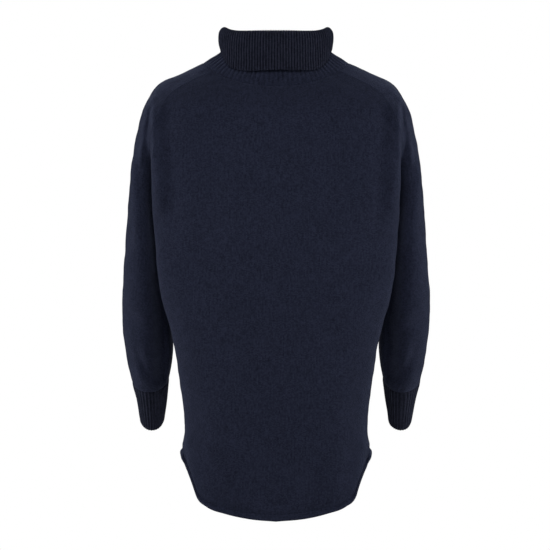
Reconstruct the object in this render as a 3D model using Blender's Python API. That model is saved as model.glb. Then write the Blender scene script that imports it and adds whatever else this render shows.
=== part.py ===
"""A long turtleneck sweater with raglan sleeves, filled out and hollow, as it hangs when worn.

Metres, +Z up, -Y is the wearer's back and +X the wearer's right. The origin lies between the two
points where the shoulders meet the neck. The tables are in centimetres, a row for each section of
the garment, and hold the wearer's right half. The left half is its mirror.
"""

from collections import namedtuple

import bmesh
import bpy
import numpy as np

CM = 0.01
WALL = 0.0022  # thickness of the plain knit
RIB_WALL = 0.0026  # thickness of the ribbed knit, without its ribs
HEM_WALL = 0.0036  # the hem band is knitted double
SEAM_GAP = 0.0003
END_EASE = 0.7 * SEAM_GAP  # a piece's top and bottom edges are drawn back this far from the seam's line
SIDE_EASE = 1.0 * SEAM_GAP  # its sides lie in folds, at a slant, and are drawn back further
HEM_BAND = 1.2  # height of the hem band
RELIEF = 0.0011  # height of a rib over the furrow beside it

NECK_RIBS = 80
COLLAR_RIBS = 112
CUFF_RIBS = 40
NECK_PLAIN = 40  # columns of the plain inner sides
COLLAR_PLAIN = 56
CUFF_PLAIN = 20
CUFF_ROWS = 4

NAVY = (0.0150, 0.0172, 0.0300, 1.0)
RIB_NAVY = (0.0140, 0.0165, 0.0270, 1.0)
KNIT_ROUGHNESS = 0.92

# The shoulder line, down from the neck to the level of the underarm: the outermost point of each section.
Shoulder = namedtuple("Shoulder", "x y z")
SHOULDER = (
    Shoulder(13.0, 0.0, -1.05),
    Shoulder(17.0, 0.0, -2.85),
    Shoulder(21.1, 0.2, -4.95),
    Shoulder(23.2, 0.4, -8.3),
    Shoulder(24.75, 0.7, -13.5),
    Shoulder(25.85, 0.9, -20.5),
    Shoulder(26.6, 1.1, -27.0),
    Shoulder(27.05, 1.3, -33.0),
)

# The same sections over the back and the front. The centre lies on the middle line, the ridge is
# where the body turns to its side, the seam is the raglan seam and the arm is the sleeve's fullest
# point. Fold is 0 where the seam lies on a smooth shoulder and 1 where it lies in a sharp fold.
Yoke = namedtuple("Yoke", "centre_y centre_z ridge_x ridge_y seam_x seam_y arm_x arm_y fold")
BACK_YOKE = (
    Yoke(-7.5, -5.8, 8.5, -5.7, 11.3, -3.7, 12.5, -2.0, 0.0),
    Yoke(-9.9, -8.6, 11.3, -8.6, 15.1, -5.4, 16.4, -2.9, 0.0),
    Yoke(-11.2, -11.4, 15.2, -9.9, 18.6, -7.3, 20.4, -4.2, 0.0),
    Yoke(-11.9, -14.8, 18.4, -10.2, 20.5, -8.6, 22.5, -5.2, 0.1),
    Yoke(-12.2, -18.8, 20.9, -9.4, 22.0, -6.8, 24.0, -5.0, 0.5),
    Yoke(-12.4, -24.0, 22.0, -7.8, 21.7, -3.6, 24.6, -5.8, 0.9),
    Yoke(-12.6, -29.0, 21.6, -7.4, 20.9, -1.4, 24.8, -5.6, 1.0),
    Yoke(-12.7, -33.0, 21.2, -7.0, 20.1, 0.8, 24.6, -5.3, 1.0),
)
FRONT_YOKE = (
    Yoke(7.9, -8.5, 8.0, 6.3, 11.0, 4.1, 12.4, 2.2, 0.0),
    Yoke(10.4, -11.0, 11.3, 9.2, 15.0, 5.6, 16.4, 3.0, 0.0),
    Yoke(11.8, -13.6, 15.2, 10.6, 18.6, 7.7, 20.4, 4.6, 0.0),
    Yoke(12.6, -16.8, 17.8, 11.0, 20.4, 8.8, 22.4, 6.0, 0.1),
    Yoke(13.0, -20.5, 19.4, 10.8, 21.4, 8.2, 23.9, 6.4, 0.5),
    Yoke(13.3, -25.4, 20.0, 9.6, 20.9, 6.0, 24.8, 7.2, 0.9),
    Yoke(13.5, -29.6, 19.9, 8.0, 20.4, 3.4, 25.0, 7.4, 1.0),
    Yoke(13.5, -33.0, 19.6, 5.6, 20.1, 0.8, 25.0, 7.4, 1.0),
)

MIDDLE_X, MIDDLE_Y = 0.52, 0.10  # a further point of each section, as shares of the way to the ridge
SHOULDER_POWER = 0.62  # how steeply a section falls beside the shoulder line
SHOULDER_ROUNDING = 0.035  # and how round it is on top

# The body below the underarm. It is widest at its back corners and narrows towards the front.
Torso = namedtuple("Torso", "z half_width widest_y back_y front_y side_y")
TORSO = (
    Torso(-33.0, 21.2, -7.0, -12.7, 13.5, 0.8),
    Torso(-37.5, 21.0, -6.7, -12.9, 13.6, 0.7),
    Torso(-42.5, 20.3, -6.2, -13.0, 13.6, 0.6),
    Torso(-47.0, 19.1, -5.6, -13.0, 13.5, 0.5),
    Torso(-52.0, 18.0, -5.0, -13.0, 13.2, 0.5),
    Torso(-60.0, 16.7, -4.2, -12.7, 12.8, 0.5),
    Torso(-67.0, 16.2, -2.4, -12.0, 12.2, 0.5),
    Torso(-71.0, 16.8, -1.2, -11.6, 11.9, 0.5),
    Torso(-76.0, 16.7, -1.0, -11.1, 11.6, 0.5),
    Torso(-84.0, 16.7, -1.0, -10.4, 11.0, 0.5),
)
FRONT_TURN = 0.72  # the front's ridge column, as a share of the way from the middle line to the side seam
BACK_SQUARENESS = 2.7  # exponent of the section's back corners
FRONT_SQUARENESS = 2.3

# Height of the hem, by the way along it from the middle line (0) to the side seam (1).
Hem = namedtuple("Hem", "way back_z front_z")
HEM = (
    Hem(0.00, -82.3, -77.0),
    Hem(0.20, -81.9, -76.8),
    Hem(0.38, -81.0, -76.3),
    Hem(0.53, -79.8, -75.5),
    Hem(0.61, -78.4, -74.9),
    Hem(0.68, -75.0, -74.1),
    Hem(0.76, -72.5, -73.1),
    Hem(0.84, -71.9, -72.0),
    Hem(1.00, -71.1, -71.1),
)

# The sleeve below the underarm, as ellipses that tip forward with the bent arm.
Sleeve = namedtuple("Sleeve", "z x y half_width half_depth tip")
SLEEVE = (
    Sleeve(-37.0, 24.1, 2.0, 3.2, 6.6, 6.0),
    Sleeve(-42.0, 23.9, 3.4, 3.85, 6.9, 14.0),
    Sleeve(-47.0, 23.6, 5.3, 4.3, 6.7, 20.0),
    Sleeve(-52.0, 23.25, 7.6, 4.3, 6.2, 25.0),
    Sleeve(-55.5, 23.2, 9.4, 3.85, 5.6, 28.0),
    Sleeve(-58.0, 23.2, 10.9, 3.3, 5.0, 30.0),
)
CUFF = (
    Sleeve(-62.0, 23.1, 13.1, 2.6, 4.2, 31.0),
    Sleeve(-66.0, 23.1, 15.4, 2.0, 3.6, 31.0),
)

# The neck's oval, at the top of the rib band and all the way up the collar's stand.
NECK_HALF_WIDTH = 8.75
NECK_BACK = 6.3
NECK_FRONT = 7.0

# The collar from its free edge up over the roll and down to the neck. Out is measured from the neck's
# oval, at the sides and at the back and front.
Roll = namedtuple("Roll", "side_out low_out side_z back_z front_z")
COLLAR = (
    Roll(1.00, 1.75, 1.50, -2.90, -4.00),
    Roll(1.22, 1.70, 2.25, -1.20, -2.20),
    Roll(1.38, 1.60, 3.30, 1.00, 0.20),
    Roll(1.32, 1.45, 4.40, 2.85, 2.30),
    Roll(1.00, 1.10, 5.00, 3.78, 3.32),
    Roll(0.55, 0.60, 5.28, 4.05, 3.60),
    Roll(0.14, 0.16, 4.96, 3.75, 3.30),
    Roll(0.00, 0.00, 4.10, 2.75, 2.20),
    Roll(0.00, 0.00, 3.00, 1.00, 0.00),
    Roll(0.00, 0.00, 1.95, -0.95, -2.55),
)
COLLAR_ROWS = (0, 1, 2, 3, 3.6, 4.2, 4.8, 5.4, 6, 7, 8, 9)  # rows of the mesh, in rows of the table
COLLAR_RIBBED = 7  # the ribs are raised from the free edge to this row of the mesh
DIP_POWER = 7.0  # how soon a level ring dips from the side towards the back or front
NECK_TOP = Roll(0.00, 0.00, 1.90, -1.00, -2.60)
NECK_SAG = 0.45  # how far the rib band sinks between neckline and collar, at the side
NECK_SAG_AT = 0.72  # where, as a share of the way up
NECK_SAG_OUT, NECK_SAG_UP = 0.55, 0.83  # the way that the band faces there, which it sinks against
NECK_SAG_LEFT = 0.2  # share of the sag that is left at the back and front
NECK_EASE = 1.2 * SEAM_GAP
NECK_ROWS = (0.0, 0.35, 0.7, 1.0)

# Soft folds, as troughs between two places on the back, the front or a sleeve.
Fold = namedtuple("Fold", "piece x0 z0 x1 z1 reach depth")
FOLDS = (
    Fold("back", 19.6, -12.5, 19.0, -26.0, 1.9, 0.35),
    Fold("back", 13.6, -62.5, 13.2, -71.5, 1.8, 0.35),
    Fold("back", 7.0, -72.5, 5.8, -80.0, 2.0, 0.30),
    Fold("front", 18.0, -14.0, 15.0, -26.0, 2.2, 0.45),
    Fold("front", 12.5, -58.0, 10.5, -72.0, 2.2, 0.40),
    Fold("sleeve", 25.4, -47.0, 21.6, -52.0, 1.5, 0.35),
    Fold("sleeve", 25.2, -54.0, 22.4, -57.0, 1.2, 0.30),
)

TO_RIDGE = (0.0, 0.16, 0.32, 0.48, 0.61, 0.72, 0.81, 0.90, 1.0)  # columns from the middle line to the ridge
TO_SEAM = (0.35, 0.7, 1.0)  # and on to the seam
SLEEVE_COLUMNS = 8  # from a seam to the shoulder line
YOKE_ROWS = 11
TORSO_ROWS = 12
HEM_ROWS = 3
TORSO_FADE = 8.0  # the yoke's last section runs out into the torso's over this depth
SLEEVE_ROWS = 13
FADE_COLUMNS = 2  # a fold ends this many columns before a seam
DENSE = 60  # steps of a worked-out curve
SHARP_FROM = 50  # degrees between two faces


def spline(knots, values, at):
    """Smooth curve through the values at the knots, read at the given places."""
    knots, values, at = (np.asarray(a, float) for a in (knots, values, at))
    slopes = np.gradient(values, knots, axis=0)
    low = np.clip(np.searchsorted(knots, at, side="right") - 1, 0, len(knots) - 2)
    step = knots[low + 1] - knots[low]
    t = (at - knots[low]) / step
    spread = (...,) + (None,) * (values.ndim - 1)
    t, step = t[spread], step[spread]
    start = (2 * t**3 - 3 * t**2 + 1) * values[low] + (t**3 - 2 * t**2 + t) * step * slopes[low]
    end = (3 * t**2 - 2 * t**3) * values[low + 1] + (t**3 - t**2) * step * slopes[low + 1]
    return start + end


def along(points):
    """Distance from the first point to each point of a line."""
    return np.concatenate([[0.0], np.cumsum(np.linalg.norm(np.diff(points, axis=0), axis=1))])


def unit(vectors):
    """The same directions, at length 1."""
    return vectors / np.maximum(np.linalg.norm(vectors, axis=-1, keepdims=True), 1e-12)


def mirrored(grid):
    """The wearer's left half, from the right one."""
    return grid * np.array([-1.0, 1.0, 1.0])


def level_at(x, shoulder, centre_z):
    """Height of a yoke section: it falls from the shoulder line to the middle line."""
    inside = np.clip(1 - (x / shoulder.x) ** 2, 0, 1)
    start = SHOULDER_ROUNDING**SHOULDER_POWER
    whole = (1 + SHOULDER_ROUNDING) ** SHOULDER_POWER - start
    fall = ((inside + SHOULDER_ROUNDING) ** SHOULDER_POWER - start) / whole
    return shoulder.z + (centre_z - shoulder.z) * fall


def yoke_section(shoulder, back, front):
    """One half section of the yoke: its back, sleeve and front columns, each from back to front."""
    sides = []
    for half in (back, front):
        middle = (half.ridge_x * MIDDLE_X, half.centre_y + MIDDLE_Y * (half.ridge_y - half.centre_y))
        sides.append(
            [
                (-middle[0], middle[1]),
                (0.0, half.centre_y),
                middle,
                (half.ridge_x, half.ridge_y),
                (half.seam_x, half.seam_y),
                (half.arm_x, half.arm_y),
            ]
        )
    stations = np.array(sides[0] + [(shoulder.x, shoulder.y)] + sides[1][::-1])
    knots = along(stations)
    centre_b, ridge_b, seam_b, side, seam_f, ridge_f, centre_f = (knots[i] for i in (1, 3, 4, 6, 8, 9, 11))

    def plan(at, first, last, fold):
        smooth = spline(knots, stations, at)
        creased = spline(knots[first : last + 1], stations[first : last + 1], at)
        return smooth + fold * (creased - smooth)

    to_ridge, to_seam = np.array(TO_RIDGE), np.array(TO_SEAM)
    body_b = np.append(centre_b + (ridge_b - centre_b) * to_ridge, ridge_b + (seam_b - ridge_b) * to_seam)
    body_f = np.append(centre_f + (ridge_f - centre_f) * to_ridge, ridge_f + (seam_f - ridge_f) * to_seam)
    body_f = body_f[::-1]
    half_sleeve = np.linspace(0, 1, SLEEVE_COLUMNS + 1)
    arm_b = seam_b + (side - seam_b) * half_sleeve
    arm_f = side + (seam_f - side) * half_sleeve
    pieces = {
        "back": plan(body_b, 0, 4, back.fold),
        "front": plan(body_f, 8, 12, front.fold),
        "sleeve": np.concatenate([plan(arm_b, 4, 8, back.fold), plan(arm_f, 4, 8, front.fold)[1:]]),
    }
    for name, points in pieces.items():
        is_back = points[:, 1] < shoulder.y
        height_b = level_at(points[:, 0], shoulder, back.centre_z)
        height_f = level_at(points[:, 0], shoulder, front.centre_z)
        heights = {"back": height_b, "front": height_f, "sleeve": np.where(is_back, height_b, height_f)}
        pieces[name] = np.column_stack([points, heights[name]])
    return pieces


def torso_curve(row, front):
    """Half a body section, from the middle line to the side seam, and the back's widest point in it."""
    turn = np.linspace(0, np.pi / 2, DENSE)
    far_y = row.front_y if front else row.back_y
    power = 2 / (FRONT_SQUARENESS if front else BACK_SQUARENESS)
    x = row.half_width * np.sin(turn) ** power
    y = row.widest_y + (far_y - row.widest_y) * np.cos(turn) ** power
    quarter = np.column_stack([x, y])
    reach = row.front_y - row.widest_y
    on = np.linspace(0, (row.side_y - row.widest_y) / reach, DENSE // 4)
    flank_x = row.half_width * (1 - on**FRONT_SQUARENESS) ** (1 / FRONT_SQUARENESS)
    flank = np.column_stack([flank_x, row.widest_y + reach * on])
    if front:
        kept = quarter[quarter[:, 1] > row.side_y]
        return np.concatenate([kept, flank[-1:]]), None
    return np.concatenate([quarter, flank[1:]]), len(quarter) - 1


def torso_section(row, front):
    """A half section's columns, from the middle line to the side seam, and their shares of the way."""
    curve, widest = torso_curve(row, front)
    length = along(curve)
    turn = length[widest] if widest is not None else length[-1] * FRONT_TURN
    at = np.concatenate([turn * np.array(TO_RIDGE), turn + (length[-1] - turn) * np.array(TO_SEAM)])
    plan = np.column_stack([np.interp(at, length, curve[:, i]) for i in (0, 1)])
    return np.column_stack([plan, np.full(len(plan), row.z)]), at / length[-1]


def ellipse(row, turns):
    """Points of a tipped oval, at turns in degrees from the inner side by the back."""
    angle = np.radians(turns)
    tip = np.radians(row.tip)
    across = -row.half_width * np.cos(angle)
    deep = -row.half_depth * np.sin(angle)
    return np.column_stack([row.x + across, row.y + deep * np.cos(tip), row.z + deep * np.sin(tip)])


def folded(grid, piece, normals):
    """The grid pressed in along its soft folds, which fade out towards its side seams."""
    columns = np.arange(grid.shape[1])
    fade = np.clip(np.minimum(columns, columns[::-1]) / FADE_COLUMNS, 0, 1)
    for fold in (f for f in FOLDS if f.piece == piece):
        start = np.array([fold.x0, fold.z0])
        run = np.array([fold.x1, fold.z1]) - start
        place = np.stack([np.abs(grid[..., 0]), grid[..., 2]], axis=-1) - start
        on = np.clip(place @ run / (run @ run), 0, 1)
        off = np.linalg.norm(place - on[..., None] * run, axis=-1)
        press = fade * fold.depth * np.exp(-((off / fold.reach) ** 2))
        grid = grid - normals * press[..., None]
    return grid


def grid_normals(grids):
    """Outward normals of grids that share points along their seams."""
    total = {}
    keys = {}
    for name, grid in grids.items():
        a, b, c, d = grid[:-1, :-1], grid[:-1, 1:], grid[1:, 1:], grid[1:, :-1]
        face = unit(np.cross(c - a, d - b))
        sums = np.zeros_like(grid)
        for rows in (slice(None, -1), slice(1, None)):
            for columns in (slice(None, -1), slice(1, None)):
                sums[rows, columns] += face
        keys[name] = np.round(grid.reshape(-1, 3), 4)
        for key, value in zip(map(tuple, keys[name]), sums.reshape(-1, 3)):
            total[key] = total.get(key, 0) + value
    return {
        name: unit(np.array([total[tuple(key)] for key in keys[name]])).reshape(grid.shape)
        for name, grid in grids.items()
    }


def lower_panel(upper, name):
    """Rows of a half panel below the underarm, down to the hem band's seam and then its edge."""
    front = name == "front"
    made = [torso_section(row, front) for row in TORSO]
    order = slice(None, None, -1 if front else 1)
    columns = np.array([section for section, _ in made])[:, order]
    knots = [-row.z for row in TORSO]
    hem = spline([h.way for h in HEM], [h.front_z if front else h.back_z for h in HEM], made[-2][1][order])
    share = np.linspace(0, 1, TORSO_ROWS)[1:]
    lower = []
    for i, bottom in enumerate(hem):
        top = upper[-1, i, 2]
        z = np.append(top + (bottom + HEM_BAND - top) * share, bottom)
        column = spline(knots, columns[:, i], -z)
        column[:, 2] = z
        start = upper[-1, i] - spline(knots, columns[:, i], [-top])[0]
        fade = np.clip(1 - (top - z) / TORSO_FADE, 0, 1)[:, None] ** 2
        lower.append(column + start * fade)
    return np.array(lower).transpose(1, 0, 2)


def body_grids():
    """The cloth's middle surface in centimetres: four grids of rows down and columns around."""
    yoke = [yoke_section(*rows) for rows in zip(SHOULDER, BACK_YOKE, FRONT_YOKE)]
    shoulder_way = along(np.array(SHOULDER))
    rows = np.linspace(0, 1, YOKE_ROWS) * shoulder_way[-1]
    halves = {name: spline(shoulder_way, [s[name] for s in yoke], rows) for name in yoke[0]}
    for name in ("back", "front"):
        halves[name] = np.concatenate([halves[name], lower_panel(halves[name], name)])

    turns = np.linspace(0, 360, 2 * SLEEVE_COLUMNS + 1)
    rings = [ellipse(row, turns) for row in SLEEVE]
    sections = [s["sleeve"] for s in yoke[-3:]] + rings
    knots = np.concatenate([shoulder_way[-3:], shoulder_way[-1] + along_rings(rings, yoke[-1]["sleeve"])])
    lower_rows = np.linspace(shoulder_way[-1], knots[-1], SLEEVE_ROWS + 1)[1:]
    arm = spline(knots, sections, lower_rows)
    arm[:, -1] = arm[:, 0]
    halves["sleeve"] = np.concatenate([halves["sleeve"], arm])

    back, front, sleeve = halves["back"], halves["front"], halves["sleeve"]
    grids = {
        "back": np.concatenate([back[:, ::-1], mirrored(back)[:, 1:]], axis=1),
        "front": np.concatenate([mirrored(front), front[:, ::-1][:, 1:]], axis=1),
        "sleeve_right": sleeve[:, ::-1],
        "sleeve_left": mirrored(sleeve),
    }
    normals = grid_normals(grids)
    return {name: folded(grid, name.split("_")[0], normals[name]) for name, grid in grids.items()}


def along_rings(rings, first):
    """Distance down the sleeve from its ring at the underarm to each ring below it."""
    centres = np.array([first.mean(axis=0)] + [ring[:-1].mean(axis=0) for ring in rings])
    return along(centres)[1:]


def faces_of(grid, normals, thickness):
    """Outer and inner points of a wall around a middle surface."""
    return grid + normals * thickness / 2, grid - normals * thickness / 2


def eased(grid, side_rows, bottom=True):
    """The grid with its edges drawn back from the seams. Its sides are edges down to the given row."""
    eased_grid = grid.copy()
    for here, next_in in ((0, 1), (-1, -2))[: 2 if bottom else 1]:
        eased_grid[here] += unit(grid[next_in] - grid[here]) * END_EASE
    for here, next_in in ((0, 1), (-1, -2)):
        eased_grid[:side_rows, here] += unit(grid[:side_rows, next_in] - grid[:side_rows, here]) * SIDE_EASE
    return eased_grid


class Shape:
    """A closed mesh under construction, in metres."""

    def __init__(self, name, material):
        self.name = name
        self.material = material
        self.mesh = bmesh.new()

    def ring(self, points):
        """New corners, in order along a line or around a ring."""
        return [self.mesh.verts.new(p) for p in points]

    def face(self, *corners):
        self.mesh.faces.new(corners)

    def strip(self, first, second, closed=False, turned=False):
        """Faces between two lines of as many points, whose diagonals mirror each other."""
        count = len(first)
        for i in range(count if closed else count - 1):
            j = (i + 1) % count
            if turned != (first[i].co.x + first[j].co.x < 0):
                self.face(first[i], first[j], second[i])
                self.face(first[j], second[j], second[i])
            else:
                self.face(first[i], first[j], second[j])
                self.face(first[i], second[j], second[i])

    def bridge(self, fine, coarse, flip=False):
        """Faces between a closed fine ring and a coarse one that has a whole share of its points."""
        share = len(fine) // len(coarse)
        for j, near in enumerate(coarse):
            far = coarse[(j + 1) % len(coarse)]
            for i in range(share):
                a, b = fine[j * share + i], fine[(j * share + i + 1) % len(fine)]
                corner = near if i < share / 2 else far
                self.face(*((b, a, corner) if flip else (a, b, corner)))
            middle = fine[j * share + share // 2]
            self.face(*((far, middle, near)[::-1] if not flip else (far, middle, near)))

    def add(self, collection):
        """Turns it into an object with its own material."""
        bmesh.ops.remove_doubles(self.mesh, verts=self.mesh.verts, dist=1e-6)
        data = bpy.data.meshes.new(self.name)
        self.mesh.to_mesh(data)
        self.mesh.free()
        data.shade_smooth()
        data.set_sharp_from_angle(angle=np.radians(SHARP_FROM))
        data.materials.append(self.material)
        collection.objects.link(bpy.data.objects.new(self.name, data))


def wall(name, material, outer, inner, open_rows):
    """A wall between two grids. Its side edges are open down to a row, and below it it is a tube."""
    shape = Shape(name, material)
    out = [shape.ring(row) for row in outer]
    inn = [shape.ring(row) for row in inner]
    for upper, lower in zip(out, out[1:]):
        shape.strip(upper, lower)
    for upper, lower in zip(inn, inn[1:]):
        shape.strip(upper[::-1], lower[::-1])
    shape.strip(inn[0], out[0])
    shape.strip(out[-1], inn[-1], turned=True)
    for row in range(open_rows - 1):
        shape.strip([inn[row][0], out[row][0]], [inn[row + 1][0], out[row + 1][0]])
        shape.strip([out[row][-1], inn[row][-1]], [out[row + 1][-1], inn[row + 1][-1]], turned=True)
    return shape


def ribbed_tube(name, material, rings, normals, ribs, plain):
    """A ribbed band: its outer points rise and fall around it, and its inner side is plain."""
    shape = Shape(name, material)
    fine = rings.shape[1]
    raised = np.where(np.arange(fine) % 2 == 0, RELIEF, 0.0)[None, :, None]
    outer = rings + normals * (RIB_WALL / 2 + raised)
    inner = (rings - normals * RIB_WALL / 2)[:, :: fine // plain]
    out = [shape.ring(row) for row in outer]
    inn = [shape.ring(row) for row in inner]
    for upper, lower in zip(out, out[1:]):
        shape.strip(upper, lower, closed=True)
    for upper, lower in zip(inn, inn[1:]):
        shape.strip(upper[::-1], lower[::-1], closed=True)
    shape.bridge(out[0], inn[0], flip=True)
    shape.bridge(out[-1], inn[-1])
    return shape


def on_line(points, shares):
    """Points of a closed line of straight runs, at shares of the way around it."""
    closed = np.concatenate([points, points[:1]])
    way = along(closed[:, :3])
    at = np.asarray(shares) * way[-1]
    return np.column_stack([np.interp(at, way, closed[:, i]) for i in range(closed.shape[1])])


def neck_oval(shares):
    """Points of the neck's oval from the back by the wearer's left, their outward directions and dips."""
    turn = np.linspace(0, 2 * np.pi, 8 * DENSE, endpoint=False)

    def deep(angle):
        return np.where(np.cos(angle) > 0, NECK_BACK, NECK_FRONT)

    line = np.column_stack([-NECK_HALF_WIDTH * np.sin(turn), -deep(turn) * np.cos(turn)])
    way = along(np.concatenate([line, line[:1]]))
    angle = np.interp(np.asarray(shares) * way[-1], way, np.append(turn, 2 * np.pi))
    plan = np.column_stack([-NECK_HALF_WIDTH * np.sin(angle), -deep(angle) * np.cos(angle)])
    out = unit(np.column_stack([-np.sin(angle) / NECK_HALF_WIDTH, -np.cos(angle) / deep(angle)]))
    dip = 1 - np.abs(np.sin(angle)) ** DIP_POWER
    return plan, out, dip, np.cos(angle) > 0


def roll_ring(row, shares):
    """One level ring of the collar, in centimetres."""
    plan, out, dip, is_back = neck_oval(shares)
    low = np.where(is_back, row.back_z, row.front_z)
    reach = row.side_out + (row.low_out - row.side_out) * dip
    return np.column_stack([plan + out * reach[:, None], row.side_z + (low - row.side_z) * dip])


def ring_normals(rings):
    """Outward normals of closed rings that run down a surface."""
    around = np.roll(rings, -1, axis=1) - np.roll(rings, 1, axis=1)
    down = np.gradient(rings, axis=0)
    return unit(np.cross(around, down))


def make_body(materials, collection):
    """The panels, the sleeves and the hem bands. Returns the neckline and the two cuff seams."""
    grids = {name: grid * CM for name, grid in body_grids().items()}
    normals = grid_normals({name: grid / CM for name, grid in grids.items()})
    seams = {}
    for name in ("back", "front"):
        grid, normal = grids[name], normals[name]
        rows = len(grid) - 1
        outer, inner = (eased(g, rows) for g in faces_of(grid[:-1], normal[:-1], WALL))
        wall(name + "_panel", materials["knit"], outer, inner, rows).add(collection)
        band = np.linspace(0, 1, HEM_ROWS)[:, None, None]
        line = grid[-2] + (grid[-1] - grid[-2]) * band
        band_normal = unit(normal[-2] + (normal[-1] - normal[-2]) * band)
        outer, inner = (eased(g, HEM_ROWS, bottom=False) for g in faces_of(line, band_normal, HEM_WALL))
        wall("hem_band_" + name, materials["knit"], outer, inner, HEM_ROWS).add(collection)
    for side in ("left", "right"):
        name = "sleeve_" + side
        grid, normal = grids[name], normals[name]
        outer, inner = (eased(g, YOKE_ROWS) for g in faces_of(grid, normal, WALL))
        for points in (outer, inner):
            middle = (points[YOKE_ROWS - 1, 0] + points[YOKE_ROWS - 1, -1]) / 2
            points[YOKE_ROWS - 1, 0] = points[YOKE_ROWS - 1, -1] = middle
        wall(name, materials["knit"], outer, inner, YOKE_ROWS).add(collection)
        seams[side] = np.column_stack([grid[-1, :-1], normal[-1, :-1]])
    order = ("back", "sleeve_left", "front", "sleeve_right")
    neckline = np.concatenate([np.column_stack([grids[n][0, :-1], normals[n][0, :-1]]) for n in order])
    seams["neck"] = np.roll(neckline, -(len(grids["back"][0]) // 2), axis=0)
    return seams


def make_neck_rib(neckline, materials, collection):
    """The band runs from the collar down to the neckline, a little hollow on the way."""
    shares = np.arange(2 * NECK_RIBS) / (2 * NECK_RIBS)
    base = on_line(neckline, shares)
    top = on_line(roll_ring(NECK_TOP, np.arange(COLLAR_PLAIN) / COLLAR_PLAIN), shares) * CM
    _, out, dip, _ = neck_oval(shares)
    base_points, base_normals = base[:, :3], unit(base[:, 3:])
    facing = np.column_stack([out * NECK_SAG_OUT, np.full(len(out), NECK_SAG_UP)])
    sag = NECK_SAG * CM * (1 - (1 - NECK_SAG_LEFT) * dip)
    sagged = base_points + (top - base_points) * NECK_SAG_AT - facing * sag[:, None]
    rings = spline([0.0, NECK_SAG_AT, 1.0], [base_points, sagged, top], NECK_ROWS)[::-1].copy()
    rings[-1] += unit(rings[-2] - rings[-1]) * NECK_EASE
    normals = ring_normals(rings)
    normals[0] = np.column_stack([out, np.zeros(len(out))])
    normals[-1] = base_normals
    ribbed_tube("neck_rib", materials["rib"], rings, normals, NECK_RIBS, NECK_PLAIN).add(collection)


def make_collar(materials, collection):
    """The collar's middle surface runs from the free edge up, over the roll and down the stand."""
    shape = Shape("collar", materials["rib"])
    tables = {}
    for key, count in (("fine", 2 * COLLAR_RIBS), ("plain", COLLAR_PLAIN)):
        shares = np.arange(count) / count
        knots = np.arange(len(COLLAR), dtype=float)
        rings = np.array([roll_ring(row, shares) for row in COLLAR]) * CM
        rings = spline(knots, rings, np.array(COLLAR_ROWS, float))
        tables[key] = (rings, -ring_normals(rings))
    rings, normals = tables["fine"]
    raised = np.where(np.arange(2 * COLLAR_RIBS) % 2 == 0, RELIEF, 0.0)[None, :, None]
    outer = (rings + normals * (RIB_WALL / 2 + raised))[: COLLAR_RIBBED + 1]
    rings, normals = tables["plain"]
    neck_side = (rings + normals * RIB_WALL / 2)[COLLAR_RIBBED + 1 :]
    hidden = rings - normals * RIB_WALL / 2
    out = [shape.ring(row) for row in outer]
    neck = [shape.ring(row) for row in neck_side]
    back = [shape.ring(row) for row in hidden]
    for lower, upper in zip(out, out[1:]):
        shape.strip(upper, lower, closed=True)
    shape.bridge(out[-1], neck[0], flip=True)
    for lower, upper in zip(neck, neck[1:]):
        shape.strip(upper, lower, closed=True)
    shape.strip(back[-1], neck[-1], closed=True)
    for lower, upper in zip(back, back[1:]):
        shape.strip(lower, upper, closed=True)
    shape.bridge(out[0], back[0])
    shape.add(collection)


def make_cuff(side, seam, materials, collection):
    """The cuff runs on from the sleeve's last ring, narrowing to its mouth."""
    shares = np.arange(2 * CUFF_RIBS) / (2 * CUFF_RIBS)
    top = on_line(seam, shares)
    turns = np.linspace(0, 360, 4 * DENSE, endpoint=False)
    below = [on_line(ellipse(row, turns), shares) * CM for row in CUFF]
    if side == "left":
        below = [mirrored(ring) for ring in below]
    else:
        below = [np.roll(ring[::-1], 1, axis=0) for ring in below]
    knots = [0.0, 0.5, 1.0]
    rings = spline(knots, np.array([top[:, :3]] + below), np.linspace(0, 1, CUFF_ROWS))
    normals = ring_normals(rings)
    normals[0] = unit(top[:, 3:])
    rings[0] += unit(rings[1] - rings[0]) * END_EASE
    ribbed_tube("cuff_" + side, materials["rib"], rings, normals, CUFF_RIBS, CUFF_PLAIN).add(collection)


def make_material(name, colour):
    material = bpy.data.materials.new(name)
    material.use_nodes = True
    shader = material.node_tree.nodes["Principled BSDF"]
    shader.inputs["Base Color"].default_value = colour
    shader.inputs["Roughness"].default_value = KNIT_ROUGHNESS
    shader.inputs["Metallic"].default_value = 0.0
    return material


def main():
    for old in list(bpy.data.objects):
        bpy.data.objects.remove(old, do_unlink=True)
    collection = bpy.data.collections.new("turtleneck_sweater")
    bpy.context.scene.collection.children.link(collection)
    materials = {"knit": make_material("navy_knit", NAVY), "rib": make_material("navy_rib", RIB_NAVY)}
    seams = make_body(materials, collection)
    make_neck_rib(seams["neck"], materials, collection)
    make_collar(materials, collection)
    for side in ("left", "right"):
        make_cuff(side, seams[side], materials, collection)


main()
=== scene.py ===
"""Looks of a long navy roll-neck sweater with raglan sleeves, filled out and hollow.

Metres, +Z up, -Y is the wearer's back and +X the wearer's right. The tables are in centimetres, a
row for each section of the garment, and hold the wearer's right half. Each piece is a knitted wall
built from sections, as the solid that it stands for is. It has finer steps, a flatter upper back,
sharper folds at the armholes, round edges at the seams, rounded ribs and soft creases, and a knit
whose stitches follow the piece's own flat cut.
"""

import logging
import math
from dataclasses import dataclass, field
from enum import Enum

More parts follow.
